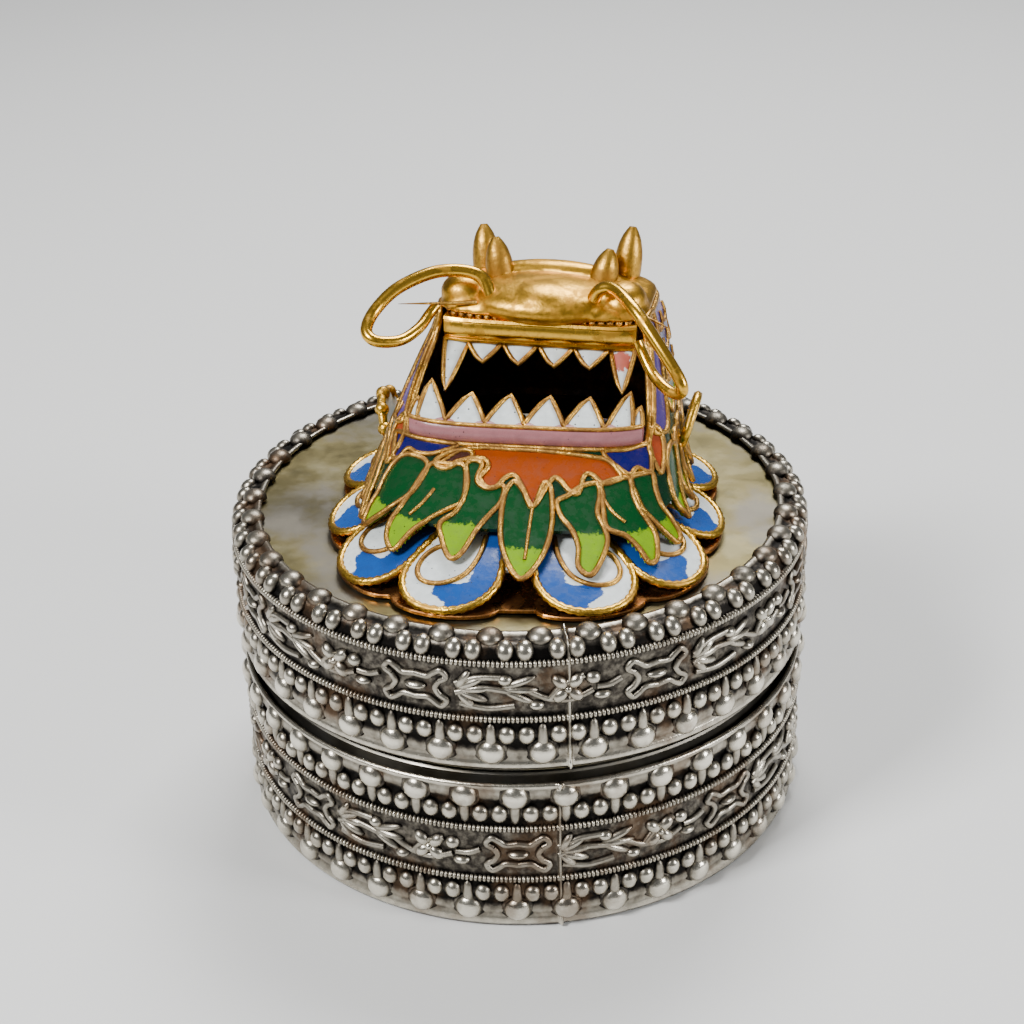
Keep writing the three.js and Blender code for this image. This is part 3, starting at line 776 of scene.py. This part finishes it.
front_leaves = [
    (5.3, [(-5, 8.6), (-5, 6.6), (-3, 5.0), (2, 3.5), (7, 4.3), (11, 5.7), (13, 7.2), (13, 9.1), (10, 9.3),
        (6, 7.8), (2, 8.9), (-2, 9.4)]),
    (6.6, [(-23, 10.5), (-17, 10.5), (-17, 9.4), (-12, 8.9), (-6, 9.1), (-6, 8.1), (-10, 7.1), (-13, 6.2),
        (-16, 4.8), (-19, 4.5), (-23, 5.6), (-25, 6.5), (-21, 7.4), (-20, 9.0)]),
    (6.4, [(-36, 10.1), (-30, 10.3), (-24, 10.3), (-21, 9.3), (-20, 8.0), (-24, 7.4), (-28, 6.8),
        (-33, 5.7), (-37, 4.1), (-41, 4.5), (-42, 5.6), (-40, 7.0), (-38, 8.4)]),
    (6.4, [(-48, 10.2), (-42, 10.5), (-37, 10.1), (-37, 8.8), (-39, 7.8), (-44, 6.6), (-50, 5.2),
        (-57, 3.8), (-57, 5.2), (-54, 6.8), (-52, 8.6)]),
    (6.2, [(24, 9.2), (30, 9.4), (30, 8.6), (28, 7.5), (29, 6.5), (29, 5.6), (26, 4.5), (22, 3.6),
        (19, 4.2), (20, 5.4), (19, 6.4), (16, 7.3), (15, 8.2), (19, 8.6)]),
    (5.8, [(32, 9.4), (41, 9.6), (41, 8.4), (42, 7.2), (44, 6.0), (45, 4.8), (43, 3.4), (40, 3.4),
        (38, 4.6), (35, 5.7), (30, 6.4), (30, 7.6), (31, 8.6)]),
    (5.6, [(42, 9.6), (50, 9.5), (50, 8.2), (51, 6.8), (54, 5.4), (57, 3.6), (54, 3.4), (50, 4.6),
        (46, 6.0), (43, 7.2), (42, 8.4)]),
]
front_cells += [(GREEN, LIME, border, outline) for border, outline in front_leaves]
front_veins = [
    [(6, 7.8), (5, 6.6), (4, 5.2), (3.5, 4.6)],
    [(-31, 8.6), (-33, 7.6), (-36, 6.6)],
    [(31, 8.4), (33, 7.4), (36, 6.6)],
    [(-34, 10.1), (-28, 11.2), (-20, 11.8)],
]

# %% [markdown]
# Round the sides and the back the same leaves go on at an even pitch. Above them lie rows of
# rounded scales, green low down and blue towards the crown, and a cobalt stripe with a coral
# wedge runs up each corner of the mouth.

# %% Cells round the sides and the back


def side_leaf(middle, lean):
    """One leaf at a direction, its point leaning away from the face."""
    way = 1 if lean >= 0 else -1
    shape = [(-6.5, 9.6), (0, 10.4), (6.5, 9.6), (6, 8.2), (4.5, 6.9), (2.5, 5.4), (lean, 3.6),
             (-3 + lean, 4.3), (-5, 5.8), (-6.6, 7.4)]
    return GREEN, LIME, 5.9, [(middle + way * x, y) for x, y in shape]


def scale_cell(middle, foot, half, tall, colours):
    arc = [math.radians(a) for a in range(180, 361, 20)]
    low = [(middle + half * math.cos(a), foot + 1.7 + 1.7 * math.sin(a)) for a in arc]
    return *colours, foot + 1.2, low + [(middle + half, foot + tall), (middle - half, foot + tall)]


def corner_stripes(way):
    """The stripes at one corner of the mouth; way is -1 on the left and 1 on the right."""
    stripe = [(56, 12.6), (60, 12.0), (67, 12.0), (72, 15.0), (76, 18.5), (80, 22.6), (68, 22.6),
              (66, 19.6), (62, 16.6), (59, 14.6)]
    coral = [(52, 11.3), (56, 12.9), (59, 12.4), (60, 11.0), (57, 9.6), (54, 9.2)]
    return [(COBALT, LAVENDER, 19.5, [(way * x, y) for x, y in stripe]),
            (CORAL, BROWN, 9.4, [(way * x, y) for x, y in coral])]


def scale_rows():
    colours = [(DARK_GREEN, GREEN), (GREEN, LIME), (BLUE, COBALT), (COBALT, BLUE), (LAVENDER, COBALT)]
    half = 6.5
    count = 17
    rows = []
    for row, colour in enumerate(colours):
        for k in range(count):
            middle = 180 + (k - (count - 1) / 2) * 2 * half + (half if row % 2 else 0)
            if 62 + 3 * row < middle < 298 - 3 * row:
                rows.append(scale_cell(middle, 9.2 + 2.6 * row, half, 5.2, colour))
    return rows


side_leaves = [side_leaf(middle, 3) for middle in range(66, 180, 13)]
side_leaves += [side_leaf(middle - 360, -3) for middle in range(189, 300, 13)]
scales = scale_rows()
leaves_and_stripes = corner_stripes(-1) + corner_stripes(1) + side_leaves + front_cells
cells = scales + leaves_and_stripes

# %% [markdown]
# The sheet is a fine grid on the head's form. Faces below the leaves that no cell covers are left
# out, which cuts the leaf points, and Solidify gives the sheet its thickness, with copper on the
# inside, darkened as painted shade of the head's interior.

# %% The mane


def within(outline, x, y):
    """Which of many points lie inside an outline, by counting crossings."""
    hit = np.zeros(len(x), dtype=bool)
    for (xa, ya), (xb, yb) in zip(outline, outline[1:] + outline[:1]):
        if ya != yb:
            crosses = (ya > y) != (yb > y)
            hit ^= crosses & (x < xa + (y - ya) * (xb - xa) / (yb - ya))
    return hit


def painted(piece, colours, seconds, shares):
    """Stores each face's two colours, and at each point how far the second one has taken over."""
    corners = np.array([len(face.vertices) for face in piece.data.polygons])
    for name, values in (("colour", colours), ("second_colour", seconds)):
        rgb = np.repeat(np.broadcast_to(values, (len(corners), 3)), corners, axis=0)
        rgba = np.column_stack([rgb, np.ones(len(rgb))]).astype(np.float32)
        piece.data.attributes.new(name, "FLOAT_COLOR", "CORNER").data.foreach_set("color", rgba.ravel())
    measure(piece, "second_share", np.broadcast_to(shares, len(piece.data.vertices)))
    return piece


def mane_sheet():
    """The grid is finer below the split, where the leaf points are."""
    columns, rows, lower_rows = 384, 84, 52
    split = 9.4
    spots = []
    for row in range(rows + 1):
        for column in range(columns):
            degrees = 360 * column / columns
            degrees = degrees - 360 if degrees > 180 else degrees
            if row <= lower_rows:
                height = mane_foot + (split - mane_foot) * row / lower_rows
            else:
                height = split + (mane_top(degrees) - split) * (row - lower_rows) / (rows - lower_rows)
            spots.append((degrees, height))
    points = [on_mane(*spot) for spot in spots]
    faces = np.array(grid_faces(rows, columns))
    spots = np.array(spots)
    x = spots[faces, 0]
    x = np.where(x - x[:, :1] > 180, x - 360, np.where(x - x[:, :1] < -180, x + 360, x))
    middle_x = x.mean(axis=1)
    middle_y = spots[faces, 1].mean(axis=1)
    colours = np.tile(DARK_GREEN, (len(faces), 1))
    seconds = colours.copy()
    border = np.full(len(faces), -99.0)
    covered = np.zeros(len(faces), dtype=bool)
    for first, second, edge, outline in cells:
        for shift in (-360, 0, 360):
            hit = within([(px + shift, py) for px, py in outline], middle_x, middle_y)
            colours[hit] = first
            seconds[hit] = second
            border[hit] = edge
            covered |= hit
    back_from, back_foot, solid_from = 100, 4.3, 6.4
    at_the_back = (np.abs(middle_x) > back_from) & (middle_y > back_foot)
    keep = covered | (middle_y > solid_from) | at_the_back
    faces = faces[keep]
    shares = np.zeros(len(points))
    shares[faces.ravel()] = np.repeat(np.clip(0.5 + (border - middle_y)[keep] / 1.4, 0, 1), 4)
    return painted(meshed("mane_sheet", points, faces.tolist()), colours[keep], seconds[keep], shares)


def on_skin(spots, lift=0.05):
    return [on_mane(*spot, lift) for spot in spots]


mane = mane_sheet()
# The inside of the sheet takes the darkened copper, painted shade of the head's interior.
for look in (glass, copper_in_painted_shade):
    mane.data.materials.append(look)
thickened(mane, 0.6, material_offset=1)
edited(mane, bpy.ops.mesh.delete_loose)
finished(smoothed(mane, 50), None, "mane_enamel", "mane")

# %% [markdown]
# At the back, the gaps between the leaf points would show the inside of the head, so a plain
# strip of darkened copper stands behind them as painted shade of the head's interior. The wires
# then follow the cells' outlines, a little above the glass.

# %% The inner wall and the mane's wires


def inner_shade_wall():
    """A dark strip a little inside the mane, round the back: painted shade of the head's interior."""
    directions = np.radians(np.linspace(112, 248, 80))
    points = [on_line(leaf_line, d, height, 1.5) for height in (2.95, 5.6) for d in directions]
    n = len(directions)
    faces = [(k, k + 1, n + k + 1, n + k) for k in range(n - 1)]
    return thickened(meshed("inner_shade_wall", points, faces), 0.3)


finished(smoothed(inner_shade_wall(), 50), copper_in_painted_shade, "gilt")

outlines = [on_skin(flowing(cell[3], 5, closed=True)) for cell in leaves_and_stripes]
arcs = [on_skin(flowing(cell[3][:10], 3)) for cell in scales]
veins = [on_skin(flowing(vein, 5)) for vein in front_veins]
edge = [on_skin([(d, mane_top(d)) for d in range(-180, 180, 2)], -0.2)]
mane_wires = joined([
    wires("leaf_wires", outlines, 0.7, closed=True, sides=1),
    wires("scale_wires", arcs, 0.5, sides=1),
    wires("vein_wires", veins, 0.45, sides=1),
    wires("edge_wire", edge, 0.8, closed=True, sides=1),
], "mane_wires")
finished(mane_wires, gilt_wire, "gilt")

# %% [markdown]
# The collar is a ring of cloud scrolls. Each is a lobe with a white comma curling into blue. The
# scrolls on the two sides of the face are mirror images. The gilt plate below follows them.
# Places on the collar count scrolls round from the front, with a narrow gap before and behind.

# %% The cloud collar
scroll_count = 12
scroll_gap = 1 / 3
scroll_notch = 5.4
scroll_wide = 12.0
collar_depth = 11.0
collar_rise = 4.0
collar_height = 1.15
collar_swell = 0.35
scrolls_round = scroll_count + 2 * scroll_gap


def even_directions(count, line, front_stretch=0.0):
    """Directions at even steps along an outline; a stretch makes the steps in front longer."""
    samples = 1440
    ring = np.array([on_line(line, TURN * k / samples, 0) for k in range(samples + 1)])
    lengths = np.concatenate([[0], np.cumsum(np.linalg.norm(np.diff(ring, axis=0), axis=1))])
    shares = np.arange(count) / count
    wanted = (shares + front_stretch * np.sin(TURN * shares) / TURN) * lengths[-1]
    return np.interp(wanted, lengths, np.linspace(0, TURN, samples + 1))


def scroll_share(along):
    """Which scroll a place round the collar is on, and how far across it; None in the two gaps."""
    half_way = scrolls_round / 2
    from_gap = along % half_way - scroll_gap / 2
    if from_gap < 0 or from_gap > scroll_count / 2:
        return None
    return from_gap % 1


def lobe(along):
    """1 at the middle of a scroll and 0 in a notch."""
    share = scroll_share(along)
    if share is None:
        return 0.0
    return max(0.0, 1 - abs(share * 2 - 1) ** 2.2) ** 0.5


fine_directions = even_directions(3600, rim_line, 0.1)


def on_collar(along, depth, lift=0.0):
    """A point of the collar: along counts scrolls from the front, depth is in from the rim."""
    index = (along / scrolls_round % 1) * len(fine_directions)
    low = int(index) % len(fine_directions)
    a, b = fine_directions[low], fine_directions[(low + 1) % len(fine_directions)]
    b = b + TURN if b < a else b
    direction = a + (b - a) * (index - int(index))
    share = min(depth / collar_depth, 1)
    height = collar_height + collar_rise * share + collar_swell * math.sin(math.pi * share)
    return on_line(rim_line, direction, height + lift, depth)


def rim_depth(along):
    return scroll_notch * (1 - lobe(along))


def white_share(along, depth):
    """How white a place is: the side away from the face is white and curls over the blue."""
    way = 1 if along < scrolls_round / 2 else -1
    away_from_face = ((scroll_share(along) or 0) - 0.5) * scroll_wide * way
    border = np.interp(depth, (0.8, 1.8, 2.9, 3.5), (-0.8, 1.2, 1.2, -2.4))
    return min(1, max(0, 0.5 + (away_from_face - border) / 1.4))


def collar_sheet():
    columns = 380
    rows = 26
    spots = []
    for row in range(rows + 1):
        for column in range(columns):
            along = column / columns * scrolls_round
            rim = rim_depth(along)
            spots.append((along, rim + (collar_depth - rim) * row / rows))
    faces = grid_faces(rows, columns)
    piece = meshed("cloud_collar_sheet", [on_collar(*spot) for spot in spots], faces)
    along, depth = np.array(spots)[[face[0] for face in faces]].T
    # Under the mane, inside the head, the collar is painted dark instead of blue and white: painted shade of
    # the head's interior.
    from_back = np.abs(along / scrolls_round - 0.5)
    in_head_shade = (from_back < 0.27) & (depth > np.interp(from_back, (0.1, 0.25), (2.4, 6.0)))
    colours, seconds = (np.where(in_head_shade[:, None], INNER_SHADE, colour) for colour in (BLUE, WHITE))
    painted(piece, colours, seconds, [white_share(*spot) for spot in spots])
    return thickened(piece, 0.6)


finished(smoothed(collar_sheet(), 50), glass, "cloud_enamel", "cloud_collar")


def scroll_start(k):
    """Where scroll k begins, counted round from the front."""
    return k + scroll_gap / 2 if k < scroll_count / 2 else k + scroll_gap * 1.5


def scroll_route(k):
    """The wire that curls through one scroll, towards the face's middle."""
    way = -1 if k < scroll_count / 2 else 1
    curl = [(2.3, 10.0), (2.5, 7.4), (1.7, 4.6), (-0.3, 3.1), (-2.7, 2.9), (-4.3, 4.0), (-4.7, 5.8),
            (-3.9, 7.3), (-2.4, 7.7), (-1.2, 7.0), (-1.1, 6.0)]
    return [on_collar(scroll_start(k) + 0.5 + way * x / scroll_wide, y, 0.05) for x, y in flowing(curl, 5)]


def rim_route(k):
    """The heavy gilt edge: in at one notch, round the scroll and in at the next."""
    hair_gap = 0.004
    shares = [0.5 - 0.5 * math.cos(math.pi * step / 40) for step in range(41)]
    places = [scroll_start(k) + hair_gap + (1 - 2 * hair_gap) * share for share in shares]
    rim = [on_collar(place, rim_depth(place), -0.15) for place in places]
    outer, inner = ([on_collar(place, scroll_notch + 0.5 * step, -0.1) for step in range(1, 11)]
                    for place in (places[0], places[-1]))
    return outer[::-1] + rim + inner


def beaded(t):
    return 1 + 0.14 * (-1) ** round(60 * t)


scrolls = range(scroll_count)
finished(wires("rim_wires", [rim_route(k) for k in scrolls], 0.95, ends=beaded), rim_gilt, "gilt")
finished(wires("scroll_wires", [scroll_route(k) for k in scrolls], 0.68, sides=1), gilt_wire, "gilt")

# %% [markdown]
# Beside the mane stand two small petals, a flat outline each, with a gilt wire round it. The
# plate is four rings of points, a little apart in height, under the collar's rim.

# %% Side petals and plate


def side_petal(word, way, foot_side, lift, knobbed):
    """A small white petal that stands out from the mane, with its gilt edge."""
    outline = [(-1.5, 5.6), (-1.2, 7.4), (-2.4, 9.4), (-4.4, 10.6), (-6.6, 9.8), (-7.4, 7.8), (-6.4, 5.6)]
    route = [np.array([head_shift + way * (foot_side + 0.28 * height), -front, head_floor + lift + height])
             for front, height in flowing(outline, 4)]
    sheet = thickened(meshed("side_petal_" + word, route, [tuple(range(len(route)))]), 0.9, offset=0)
    finished(painted(sheet, WHITE, WHITE, 0), white_glass, "cloud_enamel")
    edge = [wires("petal_wire", [route], 1.15, closed=True, sides=1)]
    if knobbed:
        edge += [put(sphere(12, 8), knob, (0.9, 0.9, 0.9)) for knob in route[4:-4:4]]
    finished(smoothed(joined(edge, "petal_edge_" + word)), rim_gilt, "gilt")


side_petal("left", -1, 17.3, 0, knobbed=True)
side_petal("right", 1, 15.6, 2.2, knobbed=False)


def plate():
    columns = 320
    rings = []
    for height, shrink in ((0.0, 0.1), (0.1, 0.0), (0.4, 0.0), (0.5, 0.12)):
        ring = []
        for k in range(columns):
            direction = fine_directions[int(k / columns * len(fine_directions))]
            inset = 0.35 * rim_depth(k / columns * scrolls_round) - 0.2
            ring.append(on_line(rim_line, direction, height, inset + shrink))
        rings.append(ring)
    return skinned("head_plate_sheet", rings)


finished(smoothed(plate(), 35), copper_gilt, "gilt", "head_plate")

# %% [markdown]
# The lip is a soft pink roll from one corner of the mouth to the other. The teeth stand on it in
# one sloping plane, white glass edged with a zigzag of gilt wire, and the upper teeth hang from
# a gilt band in the same plane.

# %% Lip, band and teeth
lip_height = 11.9
lip_half = 13.6
lip_top = 14.0
jaw_foot = 19.5
band_half = 11.5


def front_sweep(name, section, height, half_width):
    """A closed section of depth and rise, swept across the head's front."""
    rings = [[on_front(side, height) + np.array([0, depth, rise]) for depth, rise in section]
             for side in np.linspace(-half_width, half_width, 49)]
    return outward(skinned(name, rings))


lip_section = [(1.3, -0.3), (0.1, -0.3), (-0.3, 0.05), (-0.5, 0.7), (-0.45, 1.5), (-0.05, 2.1), (0.6, 2.3),
               (1.3, 2.3)]
lip = painted(front_sweep("lip", lip_section, lip_height, lip_half), PINK, PINK, 0)
finished(smoothed(lip, 50), glass, "lip_enamel", "lower_jaw")

band_section = [(1.6, 0), (0.35, 0), (0.05, 0.12), (0.0, 0.4), (0.28, 0.6), (0.05, 0.8), (-0.08, 1.3),
                (-0.05, 2.4), (0.12, 2.65), (-0.15, 2.8), (0.05, 3.1), (1.6, 3.1)]
band = front_sweep("gilt_band", band_section, jaw_foot, band_half)
finished(smoothed(band, 40), gilt_smooth, "gilt", "upper_jaw")

side_way = np.array([1.0, 0, 0])
slope = on_front(0, jaw_foot) - on_front(0, lip_top)
slope = slope / np.linalg.norm(slope)
outward_way = np.cross(side_way, slope)


def lower_root(side):
    return on_front(side, lip_height) + np.array([0, 0.65, 2.1])


def upper_root(side):
    return on_front(side, jaw_foot) + np.array([0, 0.8, 0])


def tooth_point(root, way, spec, t, sunk):
    """The middle of a tooth at a share of its height, and half its width there."""
    side, wide, tall, lean = spec
    middle = root(side) + side_way * lean * t + slope * way * (tall * t - sunk)
    return middle, wide / 2 * (1 - t ** 1.25) + 0.08


def tooth(root, way, spec):
    """A tooth with curved flanks: its face is a fan of quads, domed in the middle."""
    rings = []
    for t in np.linspace(0, 1, 9):
        centre, half = tooth_point(root, way, spec, t, 0.3)
        thick = 0.38 * (1 - 0.5 * t)
        around = ((-1, 0), (-0.5, 0.75), (0, 1), (0.5, 0.75), (1, 0), (0, -0.8))
        rings.append([centre + side_way * across * half + outward_way * thick * out
                      for across, out in around])
    return outward(skinned("tooth", rings), 0.001)


def tooth_edges(root, way, specs):
    """One zigzag of wire along the flanks of a row of teeth."""
    climb = (0, 0.25, 0.5, 0.75)
    route = []
    for spec in specs:
        for t, flank in [(t, -1) for t in climb] + [(0.97, 1)] + [(t, 1) for t in climb[::-1]]:
            centre, half = tooth_point(root, way, spec, t, 0.1)
            route.append(centre + side_way * half * flank + outward_way * 0.12)
    return route


# Each tooth is given by its side, width, height and lean.
lower_teeth = [(-12.9, 1.5, 2.4, -0.2), (-11.0, 3.3, 5.2, -0.9)]
lower_teeth += [(s, 4.4, 3.9, 0.1) for s in (-6.9, -2.3, 2.3, 6.9)]
lower_teeth += [(11.0, 2.8, 4.6, 0.6), (12.8, 1.4, 2.4, 0.2)]
upper_teeth = [(-10.0, 2.8, 7.3, -0.4)]
upper_teeth += [(s, 4.1, 3.0, 0) for s in (-6.6, -2.3, 2.0, 6.2)]
upper_teeth += [(9.9, 2.8, 6.2, 0.6)]
rows_of_teeth = [(lower_root, 1, lower_teeth), (upper_root, -1, upper_teeth)]
teeth = joined([tooth(root, way, spec) for root, way, row in rows_of_teeth for spec in row], "teeth")
stain_at = on_front(9.8, jaw_foot) - slope
stain = np.clip(1.15 - np.linalg.norm(points_of(teeth) - stain_at, axis=1) / 2.2, 0, 1)
finished(smoothed(painted(teeth, WHITE, ROSE, stain), 40), white_glass, "tooth_enamel")

lip_edges = [[on_front(side, lip_height) + np.array([0, depth, rise])
              for side in np.linspace(-lip_half, lip_half, 60)]
             for depth, rise in ((-0.1, -0.2), (-0.1, 2.15))]
mouth_wires = joined([
    wires("tooth_wires", [tooth_edges(*row) for row in rows_of_teeth], 0.62, sides=1),
    wires("lip_wires", lip_edges, 0.55, sides=1),
], "mouth_wires")
finished(mouth_wires, gilt_wire, "gilt")

# %% [markdown]
# The snout is a low gilt dome with a bulge over each eye and a brow ridge behind. The parts are
# joined, remeshed into one skin and smoothed, so they flow into each other as raised sheet does.

# %% Snout


def snout_dome():
    """Rings of points that shrink towards the top, as on a flattened ball."""
    directions = even_directions(72, crown_line)
    middle = (on_line(crown_line, 0, 0) + on_line(crown_line, math.pi, 0)) / 2
    under = head_floor + 22.9
    rings = []
    for rise in (0, 0.12, 0.25, 0.4, 0.55, 0.7, 0.82, 0.91, 0.97):
        shrink = math.sqrt(1 - rise * rise)
        around = [middle + (on_line(crown_line, direction, 0) - middle) * shrink for direction in directions]
        rings.append([(x, y, under + 2.7 * rise) for x, y, _ in around])
    return skinned("snout", rings)


def ball(x, y, z, sizes):
    return put(sphere(32, 16), (head_shift + x, y, head_floor + z), sizes)


snout = joined([
    snout_dome(),
    ball(-9.8, 6.0, 24.2, (2.9, 2.8, 2.2)),
    ball(9.4, 6.0, 24.2, (2.8, 2.8, 2.2)),
    ball(0, 5.8, 23.8, (9.2, 5.6, 2.6)),
    ball(0, 4.4, 24.6, (4.6, 3.6, 1.9)),
    ball(0, 11.2, 25.0, (7.6, 1.8, 1.6)),
    ball(-5.4, 3.9, 23.8, (2.0, 1.7, 1.5)),
    ball(5.4, 3.9, 23.8, (2.0, 1.7, 1.5)),
], "snout_sheet")
modified(snout, "REMESH", mode="VOXEL", voxel_size=0.3 * MM)
modified(snout, "SMOOTH", factor=0.6, iterations=6)
finished(smoothed(snout), gilt_sheet, "gilt", "snout")

# %% [markdown]
# Four horns stand on the snout like pointed buds: a straight wire each, whose thickness swells
# and runs out. Two thick wires loop from the nostrils as whiskers, with a thin bristle beside
# each. A crinkled wire closes the joint between snout and band.

# %% Horns, whiskers and the crinkled wire


def on_head(side, front, height):
    return np.array([head_shift + side, -front, head_floor + height])


def bud(t):
    """The thickness along a horn, greatest a third of the way up."""
    return 1.72 * max(0.1, 1 - abs((t - 0.36) / 0.655) ** 2.3) ** 0.6


def horn(place, word, foot, tip):
    """A straight wire from foot to tip, each given by side, reach to the front and height."""
    foot, tip = on_head(*foot), on_head(*tip)
    route = [foot + (tip - foot) * t for t in np.linspace(0, 1, 16)]
    piece = wires(place + "_horn_" + word, [route], 2.0, sides=6, ends=bud)
    finished(piece, dull_gilt, "gilt", "horn_" + place + "_" + word)


horn("inner", "left", (-5.8, -9.4, 22.5), (-7.0, -11.2, 29.2))
horn("inner", "right", (5.8, -9.4, 22.5), (7.0, -11.2, 28.4))
horn("outer", "left", (-8.4, -12.8, 22.3), (-9.2, -14.8, 29.4))
horn("outer", "right", (8.4, -12.8, 22.3), (9.2, -14.8, 30))

whiskers = {
    "left": [(-5.8, -3.2, 24), (-7.6, -4.4, 26.9), (-12.2, -3.6, 27.5), (-16.4, -0.8, 26.4),
             (-18.8, 1.8, 24.4), (-19.3, 4.3, 22.9), (-18, 5.2, 22), (-15.5, 3.8, 21.6),
             (-13.8, 1.4, 22.2), (-13.0, -0.9, 23.1), (-12.4, -1.9, 23.8)],
    "right": [(5.7, -3.6, 24), (7, -3.2, 26.4), (8.9, -2.3, 26.9), (11.9, 1.4, 25.9), (15.1, 4.2, 22.9),
              (17.6, 6, 19.9), (17.8, 6, 18.3), (16.4, 5.2, 18), (14.2, 3, 18.9), (12.6, 1.2, 20.9),
              (12, 0.8, 22)],
}
bristles = {
    "left": [(-7.6, -2.6, 24.2), (-12, -1.5, 24.3), (-16.6, -0.4, 24.4)],
    "right": [(11.4, -3.4, 23.6), (13.4, -2.4, 23.3), (15.2, -1.6, 22.9)],
}


def whisker_thickness(t):
    return 1.0 - 0.25 * t


def pointed(t):
    return 1.1 - t


def head_wires(kind, routes, width, sides, thickness, material):
    for word, points in routes.items():
        route = flowing([on_head(*point) for point in points], 8)
        piece = wires(kind + "_wire_" + word, [route], width, sides=sides, ends=thickness)
        finished(piece, material, "gilt", kind + "_" + word)


head_wires("whisker", whiskers, 1.65, 5, whisker_thickness, gilt_smooth)
head_wires("bristle", bristles, 0.6, 3, pointed, gilt_wire)

crinkle_route = []
for k, side in enumerate(np.linspace(-11.3, 11.3, 220)):
    wave = math.sin(k * 0.62)
    crinkle_route.append(on_front(side, crown_line.height)
                         + np.array([0, 0.9 - 0.45 * abs(wave), 0.45 + 0.35 * wave]))
finished(wires("crinkled_wire", [crinkle_route], 0.6, sides=1), gilt_wire, "gilt")

# %% [markdown]
# The floor is plain and pale. Broad soft lights stand above and to the left, as in a studio, with
# a weaker one on the other side to draw the edges of the metal.

# %% Floor and light
only()
bpy.ops.mesh.primitive_plane_add(size=1.6)
floor = bpy.context.object
floor.name = "floor"
floor_look, tree, shader = started("floor")
feed(tree, shader["Base Color"], (0.62, 0.62, 0.61))
feed(tree, shader["Roughness"], 0.7)
floor.data.materials.append(floor_look)


def soft_light(name, place, size, power):
    light = bpy.data.lights.new(name, "AREA")
    light.size = size
    light.energy = power
    lamp = placed(name, light)
    lamp.location = place
    aim_at = Vector((0, 0, 0.035)) - Vector(place)
    lamp.rotation_euler = aim_at.to_track_quat("-Z", "Y").to_euler()


soft_light("key", (-0.25, -0.30, 0.42), 0.14, 4.5)
soft_light("top_back", (0.02, 0.30, 0.50), 0.25, 4.0)
soft_light("side", (0.45, -0.1, 0.2), 0.12, 1.8)

world = bpy.data.worlds.new("world")
bpy.context.scene.world = world
world.use_nodes = True
background = world.node_tree.nodes["Background"].inputs
background["Color"].default_value = (0.75, 0.78, 0.82, 1)
background["Strength"].default_value = 0.22
